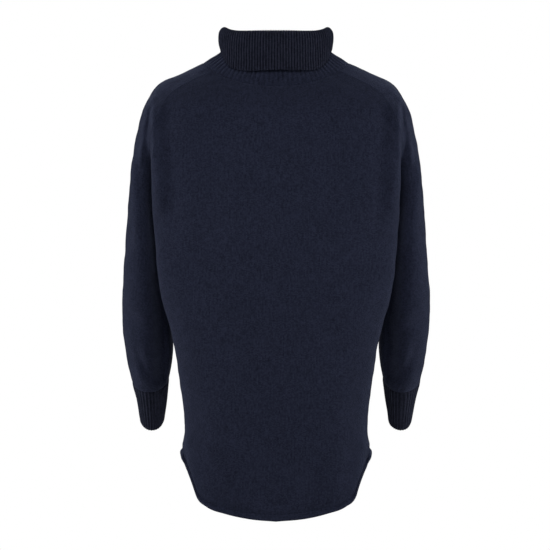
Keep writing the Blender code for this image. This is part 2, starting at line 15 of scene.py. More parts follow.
import bpy
import numpy as np
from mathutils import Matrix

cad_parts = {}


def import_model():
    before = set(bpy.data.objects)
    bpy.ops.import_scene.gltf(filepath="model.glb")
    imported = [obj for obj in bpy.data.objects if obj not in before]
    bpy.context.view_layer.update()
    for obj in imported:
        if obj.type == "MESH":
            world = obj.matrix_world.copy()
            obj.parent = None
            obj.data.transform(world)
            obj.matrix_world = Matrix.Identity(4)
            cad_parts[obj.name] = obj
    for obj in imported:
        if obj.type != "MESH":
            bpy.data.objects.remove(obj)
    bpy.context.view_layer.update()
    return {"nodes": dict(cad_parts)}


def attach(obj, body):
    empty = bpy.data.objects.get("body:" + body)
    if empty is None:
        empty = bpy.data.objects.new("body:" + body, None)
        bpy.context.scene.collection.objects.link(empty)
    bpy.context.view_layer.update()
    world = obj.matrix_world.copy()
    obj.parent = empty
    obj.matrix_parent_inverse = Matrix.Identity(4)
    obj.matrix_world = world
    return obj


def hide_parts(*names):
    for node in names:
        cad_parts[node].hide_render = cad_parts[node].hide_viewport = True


Array = np.ndarray
Socket = bpy.types.NodeSocket
CM = 0.01
MM = 0.001
SEAM_GAP = 0.1 * MM
FULL_FACING = 2.5
log = logging.getLogger("sweater")


class Side(Enum):
    """A side of the wearer, with the sign of its X."""

    LEFT = -1
    RIGHT = 1


class Piece(Enum):
    """A kind of cut piece that creases can lie on."""

    BACK = "back"
    FRONT = "front"
    SLEEVE = "sleeve"


class Facing(Enum):
    """The way that the cloth faces where a crease lies."""

    ALL = 0
    BACK = -1
    FRONT = 1


class Stitch(Enum):
    """The side of the knit that shows."""

    KNIT = "knit"
    PURL = "purl"


# ---------------------------------------------------------------- lines and grids


def spline(knots: Array, values: Array, at: Array) -> Array:
    """Reads a smooth curve through the values at the knots.

    Args:
        knots: Rising places of the values.
        values: One value, point or whole section for each knot.
        at: Places to read.

    Returns:
        The values at those places.
    """
    knots, values, at = (np.asarray(a, float) for a in (knots, values, at))
    slopes = np.gradient(values, knots, axis=0)
    low = np.clip(np.searchsorted(knots, at, side="right") - 1, 0, len(knots) - 2)
    step = knots[low + 1] - knots[low]
    t = (at - knots[low]) / step
    spread = (...,) + (None,) * (values.ndim - 1)
    t, step = t[spread], step[spread]
    start = (2 * t**3 - 3 * t**2 + 1) * values[low] + (t**3 - 2 * t**2 + t) * step * slopes[low]
    end = (3 * t**2 - 2 * t**3) * values[low + 1] + (t**3 - t**2) * step * slopes[low + 1]
    return start + end


def along(points: Array) -> Array:
    """Distance from the first point to each point of a line."""
    return np.concatenate([[0.0], np.cumsum(np.linalg.norm(np.diff(points, axis=0), axis=1))])


def unit(vectors: Array) -> Array:
    """The same directions, at length 1."""
    return vectors / np.maximum(np.linalg.norm(vectors, axis=-1, keepdims=True), 1e-12)


def mirrored(grid: Array) -> Array:
    """The wearer's left half, from the right one."""
    return grid * np.array([-1.0, 1.0, 1.0])


def finer(shares: tuple[float, ...], parts: int) -> Array:
    """The same shares with each step cut into equal parts."""
    coarse = np.arange(len(shares))
    return np.interp(np.linspace(0, len(shares) - 1, (len(shares) - 1) * parts + 1), coarse, shares)


def trimmed(grid: Array, start: float, end: float, axis: int, beside: tuple[float, ...] = ()) -> Array:
    """Cuts the lines of a grid shorter at both ends.

    Args:
        grid: Rows and columns of values whose first three are the point.
        start: Length to take off where the lines begin.
        end: Length to take off where they end.
        axis: 0 for lines that run down the rows, 1 for lines across the columns.
        beside: Distances from both new ends at which further points are put in.

    Returns:
        The grid with its lines respaced between the new ends.
    """
    lines = grid if axis == 1 else grid.transpose(1, 0, 2)
    extra = np.array(beside)
    cut = []
    for line in lines:
        way = along(line[:, :3])
        at = start + (way[-1] - start - end) * way / way[-1]
        at = np.sort(np.concatenate([at, start + extra, way[-1] - end - extra]))
        cut.append(np.column_stack([np.interp(at, way, line[:, c]) for c in range(line.shape[1])]))
    cut = np.array(cut)
    return cut if axis == 1 else cut.transpose(1, 0, 2)


def on_line(points: Array, shares: Array) -> Array:
    """Reads a closed line of straight runs.

    Args:
        points: Its points, with the first one not repeated. Other values may follow each point.
        shares: Shares of the way around it.

    Returns:
        The point at each share, with its other values.
    """
    closed = np.concatenate([points, points[:1]])
    way = along(closed[:, :3])
    at = np.asarray(shares) * way[-1]
    return np.column_stack([np.interp(at, way, closed[:, i]) for i in range(closed.shape[1])])


def face_sums(grid: Array) -> Array:
    """Sums the outward directions of a grid's faces at its points.

    Args:
        grid: Rows and columns of points.

    Returns:
        A vector for each point, not yet at length 1.
    """
    a, b, c, d = grid[:-1, :-1], grid[:-1, 1:], grid[1:, 1:], grid[1:, :-1]
    face = unit(np.cross(c - a, d - b))
    sums = np.zeros_like(grid)
    for rows in (slice(None, -1), slice(1, None)):
        for columns in (slice(None, -1), slice(1, None)):
            sums[rows, columns] += face
    return sums


def flattened(grid: Array, level: int, middle: int) -> Array:
    """Where each point of a panel lies in its flat knit, with the wales running down.

    Args:
        grid: The panel's points.
        level: The row whose course is straight in the flat knit.
        middle: The column that runs down one wale.

    Returns:
        Rows and columns of two lengths: across the wales and down them.
    """
    across = np.zeros(grid.shape[:2])
    across[:, 1:] = np.cumsum(np.linalg.norm(np.diff(grid, axis=1), axis=2), axis=1)
    across -= across[:, middle : middle + 1]
    step = np.linalg.norm(np.diff(grid, axis=0), axis=2)
    sideways = np.diff(across, axis=0)
    least = 0.3 * step  # a step always runs down by this much
    down = np.zeros(grid.shape[:2])
    down[1:] = np.cumsum(np.sqrt(np.maximum(step**2 - sideways**2, least**2)), axis=0)
    return np.stack([across, down - down[level]], axis=-1)


def smooth_noise(grid: Array, size: float, seed: int) -> Array:
    """Gentle unevenness from crossing waves, mostly between -1 and 1.

    Args:
        grid: Points to read it at.
        size: Distance between its swellings, in the grid's units.
        seed: Chooses one of many patterns.

    Returns:
        One number for each point.
    """
    draw = np.random.default_rng(seed)
    total = np.zeros(grid.shape[:-1])
    waves = 9
    longest, shortest = 0.6, 1.4  # how often a wave comes, against the mean one
    for _ in range(waves):
        way = unit(draw.normal(size=3)) * draw.uniform(longest, shortest) * 2 * np.pi / size
        total += np.sin(grid @ way + draw.uniform(0, 2 * np.pi))
    return total / math.sqrt(waves)


# ---------------------------------------------------------------- tables


@dataclass(frozen=True)
class Shoulder:
    """The outermost point of a section, down from the neck to the level of the underarm."""

    x: float
    y: float
    z: float


@dataclass(frozen=True)
class Yoke:
    """A section over the back or the front: middle line, ridge, raglan seam and the sleeve's fullness."""

    centre_y: float
    centre_z: float
    ridge_x: float
    ridge_y: float
    seam_x: float
    seam_y: float
    arm_x: float
    arm_y: float
    fold: float


@dataclass(frozen=True)
class Torso:
    """A level section of the body below the underarm."""

    z: float
    half_width: float
    widest_y: float
    back_y: float
    front_y: float
    side_y: float
    squareness: float


@dataclass(frozen=True)
class Hem:
    """Height of the hem, by the way along it from the middle line to the side seam."""

    way: float
    back_z: float
    front_z: float


@dataclass(frozen=True)
class Arm:
    """An oval section of the lower sleeve or the cuff, tipped forward by an angle in degrees."""

    z: float
    x: float
    y: float
    half_width: float
    half_depth: float
    tip: float


@dataclass(frozen=True)
class Roll:
    """A row of the collar: its distance out from the neck's oval and its height around it."""

    side_out: float
    low_out: float
    side_z: float
    back_z: float
    front_z: float


@dataclass(frozen=True)
class Crease:
    """A soft trough along a line of places (x, z), or a ridge where its depth is negative.

    Left and right give its strength on either side of the wearer, and drop moves the left one down.
    One that lies on two pieces runs on over the seam between them. One that faces a side is at full
    strength wherever FULL_FACING times the cloth's turn to that side reaches 1.
    """

    pieces: tuple[Piece, ...]
    line: tuple[tuple[float, float], ...]
    reach: float
    depth: float
    facing: Facing = Facing.ALL
    left: float = 1.0
    right: float = 1.0
    drop: float = 0.0

    def press(self, grid: Array, normals: Array) -> Array:
        """How far the crease presses each point in: along Y where it faces the back or the front.

        Args:
            grid: The points, in the tables' units.
            normals: Their outward directions.

        Returns:
            A shift for each point, still to be taken off.
        """
        left = grid[..., 0] < 0
        place = np.stack([np.abs(grid[..., 0]), grid[..., 2] + np.where(left, self.drop, 0.0)], axis=-1)
        nearest = np.full(left.shape, np.inf)
        for start, end in zip(self.line, self.line[1:]):
            run = np.subtract(end, start)
            on = np.clip((place - start) @ run / (run @ run), 0, 1)
            off = np.linalg.norm(place - start - on[..., None] * run, axis=-1)
            nearest = np.minimum(nearest, off)
        press = self.depth * np.exp(-((nearest / self.reach) ** 2))
        press *= np.where(left, self.left, self.right)
        if self.facing == Facing.ALL:
            return normals * press[..., None]
        press *= np.clip(normals[..., 1] * self.facing.value * FULL_FACING, 0, 1)
        return np.array([0.0, self.facing.value, 0.0]) * press[..., None]


SHOULDER = (
    Shoulder(13.0, 0.0, -1.05),
    Shoulder(17.0, 0.0, -2.85),
    Shoulder(21.1, 0.2, -4.95),
    Shoulder(23.2, 0.4, -8.3),
    Shoulder(24.9, 0.7, -13.5),
    Shoulder(25.85, 0.9, -20.5),
    Shoulder(26.6, 1.1, -27.0),
    Shoulder(27.05, 1.3, -33.0),
)
BACK_YOKE = (
    Yoke(-7.5, -5.8, 8.5, -5.7, 11.3, -3.7, 12.5, -2.0, 0.0),
    Yoke(-9.9, -8.6, 11.3, -8.6, 15.1, -5.4, 16.4, -2.9, 0.0),
    Yoke(-11.2, -11.4, 15.2, -9.9, 18.6, -7.3, 20.4, -4.2, 0.0),
    Yoke(-11.9, -14.8, 18.4, -10.7, 20.5, -9.4, 22.3, -6.4, 0.1),
    Yoke(-12.2, -18.8, 21.1, -10.9, 22.1, -8.8, 24.1, -5.0, 0.7),
    Yoke(-12.4, -24.0, 21.7, -10.0, 21.6, -4.6, 24.5, -6.2, 0.9),
    Yoke(-12.6, -29.0, 21.4, -8.8, 20.9, -1.4, 24.6, -5.9, 1.0),
    Yoke(-12.7, -33.0, 21.2, -7.0, 20.1, 0.8, 24.6, -5.3, 1.0),
)
FRONT_YOKE = (
    Yoke(7.9, -8.5, 8.0, 6.3, 11.0, 4.1, 12.4, 2.2, 0.0),
    Yoke(10.4, -11.0, 11.3, 9.2, 15.0, 5.6, 16.4, 3.0, 0.0),
    Yoke(11.8, -13.6, 15.2, 10.6, 18.6, 7.7, 20.4, 4.6, 0.0),
    Yoke(12.6, -16.8, 17.8, 11.0, 20.4, 8.8, 22.4, 6.0, 0.1),
    Yoke(13.0, -20.5, 19.4, 10.8, 21.4, 8.2, 23.9, 6.4, 0.5),
    Yoke(13.3, -25.4, 20.0, 9.6, 20.9, 6.0, 24.8, 7.2, 0.9),
    Yoke(13.5, -29.6, 19.9, 8.0, 20.4, 3.4, 25.0, 7.4, 1.0),
    Yoke(13.5, -33.0, 19.6, 5.6, 20.1, 0.8, 25.0, 7.4, 1.0),
)
TORSO = (
    Torso(-33.0, 21.2, -7.0, -12.7, 13.5, 0.8, 2.7),
    Torso(-37.5, 21.0, -6.7, -12.9, 13.6, 0.7, 2.7),
    Torso(-42.5, 20.3, -6.2, -13.0, 13.6, 0.6, 2.7),
    Torso(-47.0, 19.1, -5.6, -13.0, 13.5, 0.5, 2.7),
    Torso(-52.0, 18.0, -5.0, -13.0, 13.2, 0.5, 2.7),
    Torso(-60.0, 16.7, -4.2, -12.7, 12.8, 0.5, 2.8),
    Torso(-67.0, 16.3, -2.4, -12.0, 12.2, 0.5, 3.1),
    Torso(-71.0, 16.9, -1.2, -11.6, 11.9, 0.5, 3.2),
    Torso(-76.0, 16.7, -1.0, -11.1, 11.6, 0.5, 3.2),
    Torso(-84.0, 16.7, -1.0, -10.4, 11.0, 0.5, 3.2),
)
HEM = (
    Hem(0.000, -82.3, -77.0),
    Hem(0.197, -81.9, -76.8),
    Hem(0.371, -81.0, -76.3),
    Hem(0.512, -79.8, -75.6),
    Hem(0.585, -78.4, -75.1),
    Hem(0.645, -75.0, -74.4),
    Hem(0.731, -72.5, -73.4),
    Hem(0.813, -71.6, -72.3),
    Hem(1.000, -71.1, -71.1),
)
SLEEVE = (
    Arm(-37.0, 24.1, 2.0, 3.2, 6.6, 6.0),
    Arm(-42.0, 23.9, 3.4, 3.85, 6.9, 14.0),
    Arm(-47.0, 23.6, 5.3, 4.3, 6.7, 20.0),
    Arm(-52.0, 23.25, 7.6, 4.3, 6.2, 25.0),
    Arm(-55.5, 23.2, 9.4, 3.85, 5.6, 28.0),
    Arm(-58.0, 23.2, 10.9, 3.3, 5.0, 30.0),
)
CUFF = (
    Arm(-62.0, 23.1, 13.1, 2.6, 4.2, 31.0),
    Arm(-66.0, 23.1, 15.4, 2.0, 3.6, 31.0),
)
COLLAR = (
    Roll(1.00, 1.75, 1.50, -2.90, -4.00),
    Roll(1.22, 1.70, 2.25, -1.20, -2.20),
    Roll(1.38, 1.60, 3.30, 1.00, 0.20),
    Roll(1.32, 1.45, 4.40, 2.85, 2.30),
    Roll(1.00, 1.10, 5.00, 3.78, 3.32),
    Roll(0.55, 0.60, 5.28, 4.05, 3.60),
    Roll(0.14, 0.16, 4.96, 3.75, 3.30),
    Roll(0.00, 0.00, 4.10, 2.75, 2.20),
    Roll(0.00, 0.00, 3.00, 1.00, 0.00),
    Roll(0.00, 0.00, 1.95, -0.95, -2.55),
)
ON_BACK = (Piece.BACK,)
ON_FRONT = (Piece.FRONT,)
ON_SLEEVE = (Piece.SLEEVE,)
OVER_BACK_SEAM = (Piece.BACK, Piece.SLEEVE)
OVER_FRONT_SEAM = (Piece.FRONT, Piece.SLEEVE)
CREASES = (
    Crease(ON_BACK, ((19.6, -12.5), (19.0, -26.0)), 1.9, 0.35),
    Crease(ON_BACK, ((13.6, -62.5), (13.2, -71.5)), 1.8, 0.35),
    Crease(ON_BACK, ((7.0, -72.5), (5.8, -80.0)), 2.0, 0.30),
    Crease(ON_FRONT, ((18.0, -14.0), (15.0, -26.0)), 2.0, 0.55),
    Crease(ON_FRONT, ((12.5, -58.0), (10.5, -72.0)), 1.8, 0.50),
    Crease(ON_SLEEVE, ((25.4, -47.0), (21.6, -52.0)), 1.5, 0.35),
    Crease(ON_SLEEVE, ((25.2, -54.0), (22.4, -57.0)), 1.2, 0.30),
    # A ridge runs down from the shoulder point, with the sleeve dropping away behind it.
    Crease(OVER_BACK_SEAM, ((21.7, -7.6), (21.5, -12.0), (21.5, -18.5)), 0.42, -0.60, Facing.BACK),
    Crease(
        OVER_BACK_SEAM,
        ((20.9, -9.5), (20.8, -14.0), (20.9, -19.0), (20.4, -27.0)),
        1.1,
        -0.50,
        Facing.BACK,
    ),
    Crease(ON_SLEEVE, ((22.2, -9.4), (22.3, -13.0)), 0.45, 1.00, Facing.BACK, 1.0, 0.85, 0.3),
    Crease(ON_SLEEVE, ((22.4, -14.4), (22.5, -17.0)), 0.50, 0.90, Facing.BACK, 0.9, 1.0, -0.2),
    Crease(ON_SLEEVE, ((23.2, -12.0), (23.6, -15.0), (23.9, -19.0)), 0.60, -0.70, Facing.BACK, 1.0, 0.85),
    Crease(ON_SLEEVE, ((22.7, -17.0), (22.7, -25.0), (22.6, -33.0)), 1.2, -1.25, Facing.BACK),
    Crease(
        OVER_BACK_SEAM,
        ((18.9, -10.5), (18.7, -14.0), (18.5, -19.0), (18.2, -24.0), (17.8, -30.0)),
        1.5,
        0.40,
        Facing.BACK,
        1.0,
        0.9,
    ),
    # The inner side of the sleeve sinks beside the body.
    Crease(
        ON_SLEEVE,
        ((20.9, -38.0), (20.6, -43.0), (20.6, -47.0), (20.7, -52.0), (21.0, -57.5)),
        1.35,
        2.30,
        Facing.BACK,
    ),
    # The sleeve bags over the elbow and above the cuff.
    Crease(ON_SLEEVE, ((26.4, -50.5), (25.4, -54.5), (24.6, -58.0)), 0.8, -0.24, Facing.BACK, 1.0, 0.8),
    Crease(ON_SLEEVE, ((22.2, -56.5), (22.0, -59.0)), 0.9, -0.16, Facing.BACK, 0.8, 1.0),
    Crease(ON_SLEEVE, ((25.0, -52.0), (23.6, -56.5)), 0.7, 0.22, Facing.BACK, 1.0, 0.7, 0.4),
    Crease(ON_SLEEVE, ((24.8, -35.0), (23.4, -39.5)), 1.2, 0.16, Facing.BACK, 0.6, 1.0),
    Crease(ON_SLEEVE, ((26.2, -41.0), (23.6, -44.0)), 1.2, 0.14, Facing.BACK, 1.0, 0.5),
    Crease(ON_SLEEVE, ((25.6, -40.5), (22.8, -42.5)), 1.0, 0.36, Facing.FRONT, 1.0, 0.7),
    Crease(ON_SLEEVE, ((25.9, -44.5), (22.0, -45.5)), 0.9, 0.42, Facing.FRONT, 0.7, 1.0, 0.5),
    Crease(ON_SLEEVE, ((25.4, -48.8), (22.4, -48.4)), 0.8, 0.34, Facing.FRONT, 1.0, 0.8),
    Crease(ON_SLEEVE, ((24.4, -20.0), (24.9, -30.0)), 1.3, 0.32, Facing.FRONT, 0.8, 1.0),
    # The front has like folds where its sleeves begin.
    Crease(
        OVER_FRONT_SEAM,
        ((22.3, -9.0), (22.2, -14.0), (21.6, -20.0)),
        0.70,
        -0.45,
        Facing.FRONT,
        1.0,
        0.8,
    ),
    Crease(
        OVER_FRONT_SEAM,
        ((20.0, -11.0), (19.6, -17.0), (18.6, -24.0)),
        1.1,
        0.58,
        Facing.FRONT,
        0.8,
        1.0,
    ),
    # The body pulls a little from under the arms, and hangs in slack folds towards the hem.
    Crease(ON_BACK, ((20.6, -31.0), (16.5, -37.5)), 1.5, 0.16, Facing.ALL, 1.0, 0.7),
    Crease(ON_BACK, ((18.6, -38.5), (17.0, -52.0)), 1.6, 0.12, Facing.ALL, 0.6, 1.0),
    Crease(ON_BACK, ((9.2, -60.5), (8.2, -72.0)), 2.4, 0.10, Facing.ALL, 1.0, 0.6),
    Crease(ON_BACK, ((2.4, -66.0), (2.0, -79.0)), 2.6, 0.08, Facing.ALL, 0.4, 1.0),
    Crease(ON_BACK, ((10.5, -10.5), (7.0, -15.5)), 1.8, 0.10, Facing.ALL, 0.8, 1.0),
    Crease(ON_FRONT, ((17.5, -30.0), (12.5, -40.0)), 1.5, 0.42, Facing.ALL, 1.0, 0.7),
    Crease(ON_FRONT, ((8.5, -14.0), (3.5, -18.0)), 1.6, 0.30, Facing.ALL, 0.7, 1.0),
    Crease(ON_FRONT, ((5.5, -60.0), (4.0, -75.0)), 2.0, 0.34, Facing.ALL, 1.0, 0.5),
    Crease(ON_FRONT, ((16.4, -44.0), (14.8, -56.0)), 1.5, 0.38, Facing.ALL, 0.7, 1.0),
    # The back turns sharply to its sides above the hem's corners.
    Crease(
        ON_BACK,
        ((16.7, -66.0), (16.5, -69.0), (16.2, -71.0), (15.8, -73.0), (15.5, -74.6), (15.1, -76.0)),
        0.55,
        1.1,
        Facing.BACK,
    ),
)


# ---------------------------------------------------------------- the body's form


@dataclass
class BodyForm:
    """The cloth's middle surface over body and sleeves, worked out from the tables."""

    middle_x: float = 0.52
    middle_y: float = 0.10
    shoulder_power: float = 0.62
    shoulder_rounding: float = 0.035
    front_turn: float = 0.72
    front_squareness: float = 2.3
    hem_band: float = 1.2
    torso_fade: float = 8.0
    fade_columns: float = 2.0
    unevenness: float = 0.05
    swelling: float = 5.5
    swelling_seed: int = 11
    ripple: float = 2.4
    ripple_seed: int = 12
    ripple_share: float = 0.5
    dense: int = 60
    flank_dense: int = 15
    to_ridge: tuple[float, ...] = (0.0, 0.16, 0.32, 0.48, 0.61, 0.72, 0.81, 0.90, 1.0)
    to_seam: tuple[float, ...] = (0.35, 0.7, 1.0)
    sleeve_columns: int = 8
    column_parts: int = 9
    yoke_rows: int = 73
    torso_rows: int = 84
    dense_from: float = 0.95
    dense_rows: int = 14
    sleeve_rows: int = 66
    lead_in: int = 3
    grids: dict[str, Array] = field(default_factory=dict)
    normals: dict[str, Array] = field(default_factory=dict)
    flats: dict[str, Array] = field(default_factory=dict)

    def level_at(self, x: Array, shoulder: Shoulder, centre_z: float) -> Array:
        """Heights on a yoke section, which falls from the shoulder line to the middle line.

        Args:
            x: Places on it, out from the middle line.
            shoulder: Its outermost point.
            centre_z: Its height at the middle line.

        Returns:
            The height at each place.
        """
        inside = np.clip(1 - (x / shoulder.x) ** 2, 0, 1)
        start = self.shoulder_rounding**self.shoulder_power
        whole = (1 + self.shoulder_rounding) ** self.shoulder_power - start
        fall = ((inside + self.shoulder_rounding) ** self.shoulder_power - start) / whole
        return shoulder.z + (centre_z - shoulder.z) * fall

    def shares(self) -> tuple[Array, Array]:
        """Spaces the columns of a half panel.

        Returns:
            Their shares of the way from the middle line to the ridge, and of that on to the seam.
        """
        ridge = finer(self.to_ridge, self.column_parts)
        seam = finer((0.0,) + self.to_seam, self.column_parts)[1:]
        return ridge, seam

    def yoke_section(self, shoulder: Shoulder, back: Yoke, front: Yoke) -> dict[str, Array]:
        """One half section of the yoke.

        Args:
            shoulder: Its outermost point.
            back: Its half over the back.
            front: Its half over the front.

        Returns:
            The points of its back, front and sleeve columns, each from back to front.
        """
        sides = []
        for half in (back, front):
            middle = (
                half.ridge_x * self.middle_x,
                half.centre_y + self.middle_y * (half.ridge_y - half.centre_y),
            )
            sides.append(
                [
                    (-middle[0], middle[1]),
                    (0.0, half.centre_y),
                    middle,
                    (half.ridge_x, half.ridge_y),
                    (half.seam_x, half.seam_y),
                    (half.arm_x, half.arm_y),
                ]
            )
        stations = np.array(sides[0] + [(shoulder.x, shoulder.y)] + sides[1][::-1])
        knots = along(stations)
        # The stations run from back to front, and the first and last lie past the middle lines.
        at_seam_b, at_seam_f, last_station = 4, 8, len(stations) - 1
        centre_b, ridge_b, seam_b, side, seam_f, ridge_f, centre_f = (
            knots[i] for i in (1, 3, at_seam_b, 6, at_seam_f, 9, 11)
        )

        def plan(at: Array, first: int, last: int, fold: float) -> Array:
            """Points of the section, smooth over the seam or turned sharply there.

            Args:
                at: Their ways along the section.
                first: The station where the piece begins.
                last: The station where it ends.
                fold: How sharp the turn is, from 0 to 1.

            Returns:
                The points in plan.
            """
            smooth = spline(knots, stations, at)
            creased = spline(knots[first : last + 1], stations[first : last + 1], at)
            return smooth + fold * (creased - smooth)

        to_ridge, to_seam = self.shares()
        body_b = np.append(
            centre_b + (ridge_b - centre_b) * to_ridge, ridge_b + (seam_b - ridge_b) * to_seam
        )
        body_f = np.append(
            centre_f + (ridge_f - centre_f) * to_ridge, ridge_f + (seam_f - ridge_f) * to_seam
        )[::-1]
        half_sleeve = np.linspace(0, 1, self.sleeve_columns * self.column_parts + 1)
        arm_b = seam_b + (side - seam_b) * half_sleeve
        arm_f = side + (seam_f - side) * half_sleeve
        sleeve_b = plan(arm_b, at_seam_b, at_seam_f, back.fold)
        sleeve_f = plan(arm_f, at_seam_b, at_seam_f, front.fold)
        pieces = {
            "back": plan(body_b, 0, at_seam_b, back.fold),
            "front": plan(body_f, at_seam_f, last_station, front.fold),
            "sleeve": np.concatenate([sleeve_b, sleeve_f[1:]]),
        }
        for name, points in pieces.items():
            is_back = points[:, 1] < shoulder.y
            height_b = self.level_at(points[:, 0], shoulder, back.centre_z)
            height_f = self.level_at(points[:, 0], shoulder, front.centre_z)
            heights = {
                "back": height_b,
                "front": height_f,
                "sleeve": np.where(is_back, height_b, height_f),
            }
            pieces[name] = np.column_stack([points, heights[name]])
        return pieces

    def torso_section(self, row: Torso, front: bool) -> tuple[Array, Array]:
        """One half body section.

        Args:
            row: The section's sizes.
            front: Whether it is the front's half.

        Returns:
            Its columns from the middle line to the side seam, and their shares of the way.
        """
        turn = np.linspace(0, np.pi / 2, self.dense)
        squareness = self.front_squareness if front else row.squareness
        far_y = row.front_y if front else row.back_y
        power = 2 / squareness
        x = row.half_width * np.sin(turn) ** power
        y = row.widest_y + (far_y - row.widest_y) * np.cos(turn) ** power
        quarter = np.column_stack([x, y])
        reach = row.front_y - row.widest_y
        on = np.linspace(0, (row.side_y - row.widest_y) / reach, self.flank_dense)
        flank_x = row.half_width * (1 - on**self.front_squareness) ** (1 / self.front_squareness)
        flank = np.column_stack([flank_x, row.widest_y + reach * on])
        if front:
            curve = np.concatenate([quarter[quarter[:, 1] > row.side_y], flank[-1:]])
            length = along(curve)
            turn_at = length[-1] * self.front_turn
        else:
            curve = np.concatenate([quarter, flank[1:]])
            length = along(curve)
            turn_at = length[len(quarter) - 1]
        to_ridge, to_seam = self.shares()
        at = np.append(turn_at * to_ridge, turn_at + (length[-1] - turn_at) * to_seam)
        plan = np.column_stack([np.interp(at, length, curve[:, i]) for i in (0, 1)])
        return np.column_stack([plan, np.full(len(plan), row.z)]), at / length[-1]

    def lower_panel(self, upper: Array, front: bool) -> Array:
        """Rows of a half panel below the underarm.

        Args:
            upper: The half panel's rows down to the underarm.
            front: Whether it is the front's.

        Returns:
            The rows down to the hem band's seam, and the hem's edge as the last row.
        """
        made = [self.torso_section(row, front) for row in TORSO]
        order = slice(None, None, -1 if front else 1)
        columns = np.array([section for section, _ in made])[:, order]
        knots = [-row.z for row in TORSO]
        heights = [h.front_z if front else h.back_z for h in HEM]
        hem = spline([h.way for h in HEM], heights, made[-2][1][order])
        dense = np.linspace(self.dense_from, 1, self.dense_rows)
        share = np.append(np.linspace(0, self.dense_from, self.torso_rows)[1:-1], dense)
        lower = []
        for i, bottom in enumerate(hem):
            top = upper[-1, i, 2]
            z = np.append(top + (bottom + self.hem_band - top) * share, bottom)
            column = spline(knots, columns[:, i], -z)
            column[:, 2] = z
            start = upper[-1, i] - spline(knots, columns[:, i], [-top])[0]
            fade = np.clip(1 - (top - z) / self.torso_fade, 0, 1)[:, None] ** 2
            lower.append(column + start * fade)
        return np.array(lower).transpose(1, 0, 2)

    def lower_sleeve(self, yoke: list[dict[str, Array]], shoulder_way: Array) -> Array:
        """Rows of the right sleeve from the underarm to the cuff's seam.

        Args:
            yoke: The sections of the yoke, whose last ones lead in to the lower sleeve.
            shoulder_way: How far down the shoulder line each of them lies.

        Returns:
            The rows of the sleeve's tube.
        """
        turns = np.linspace(0, 360, 2 * self.sleeve_columns * self.column_parts + 1)
        rings = [oval(row, turns) for row in SLEEVE]
        first = yoke[-1]["sleeve"]
        centres = np.array([first.mean(axis=0)] + [ring[:-1].mean(axis=0) for ring in rings])
        knots = np.append(shoulder_way[-self.lead_in :], shoulder_way[-1] + along(centres)[1:])
        rows = np.linspace(shoulder_way[-1], knots[-1], self.sleeve_rows + 1)[1:]
        arm = spline(knots, [s["sleeve"] for s in yoke[-self.lead_in :]] + rings, rows)
        arm[:, -1] = arm[:, 0]
        return arm

    def smooth_grids(self) -> dict[str, Array]:
        """Works out the grids without creases.

        Returns:
            Back, front and sleeves in centimetres, each with its rows down and its columns around.
        """
        yoke = [self.yoke_section(*rows) for rows in zip(SHOULDER, BACK_YOKE, FRONT_YOKE)]
        shoulder_way = along(np.array([(s.x, s.y, s.z) for s in SHOULDER]))
        rows = np.linspace(0, 1, self.yoke_rows) * shoulder_way[-1]
        half = {name: spline(shoulder_way, [s[name] for s in yoke], rows) for name in yoke[0]}
        for name in ("back", "front"):
            half[name] = np.concatenate([half[name], self.lower_panel(half[name], name == "front")])
        sleeve = np.concatenate([half["sleeve"], self.lower_sleeve(yoke, shoulder_way)])
        back, front = half["back"], half["front"]
        return {
            "back": np.concatenate([back[:, ::-1], mirrored(back)[:, 1:]], axis=1),
            "sleeve_left": mirrored(sleeve),
            "front": np.concatenate([mirrored(front), front[:, ::-1][:, 1:]], axis=1),
            "sleeve_right": sleeve[:, ::-1],
        }

    def shared_normals(self, grids: dict[str, Array]) -> dict[str, Array]:
        """Works out outward directions that agree along every seam.

        Args:
            grids: The four grids.

        Returns:
            The direction at each of their points.
        """
        sums = {name: face_sums(grid) for name, grid in grids.items()}
        upper, lower = slice(None, self.yoke_rows), slice(self.yoke_rows, None)
        order = ("back", "sleeve_left", "front", "sleeve_right")
        seams = [(a, b, upper) for a, b in zip(order, order[1:] + order[:1])]
        seams += [("back", "front", lower), ("front", "back", lower)]
        seams += [(name, name, lower) for name in ("sleeve_left", "sleeve_right")]
        totals = [(a, b, rows, sums[a][rows, -1] + sums[b][rows, 0]) for a, b, rows in seams]
        for a, b, rows, total in totals:
            sums[a][rows, -1] = total
            sums[b][rows, 0] = total
        return {name: unit(total) for name, total in sums.items()}

    def creased(self, name: str, grid: Array, normals: Array) -> Array:
        """Presses a grid in along its creases. One that lies on it alone fades out at its sides.

        Args:
            name: The grid's name, which begins with its kind of piece.
            grid: Its points.
            normals: Their outward directions.

        Returns:
            The pressed points, a little uneven.
        """
        columns = np.arange(grid.shape[1]) / self.column_parts
        fade = np.clip(np.minimum(columns, columns[::-1]) / self.fade_columns, 0, 1)
        piece = Piece(name.split("_")[0])
        for crease in (c for c in CREASES if piece in c.pieces):
            strength = fade[:, None] if len(crease.pieces) == 1 else 1.0
            grid = grid - strength * crease.press(grid, normals)
        swelling = smooth_noise(grid, self.swelling, self.swelling_seed)
        ripple = smooth_noise(grid, self.ripple, self.ripple_seed)
        rise = self.unevenness * (swelling + self.ripple_share * ripple)
        return grid + normals * (fade * rise)[..., None]

    def work_out(self) -> None:
        """Fills the grids, their outward directions and their flat places, in metres."""
        smooth = self.smooth_grids()
        normals = self.shared_normals(smooth)
        for name, grid in smooth.items():
            self.flats[name] = flattened(grid, self.yoke_rows, grid.shape[1] // 2) * CM
            self.grids[name] = self.creased(name, grid, normals[name]) * CM
        self.normals = self.shared_normals(self.grids)


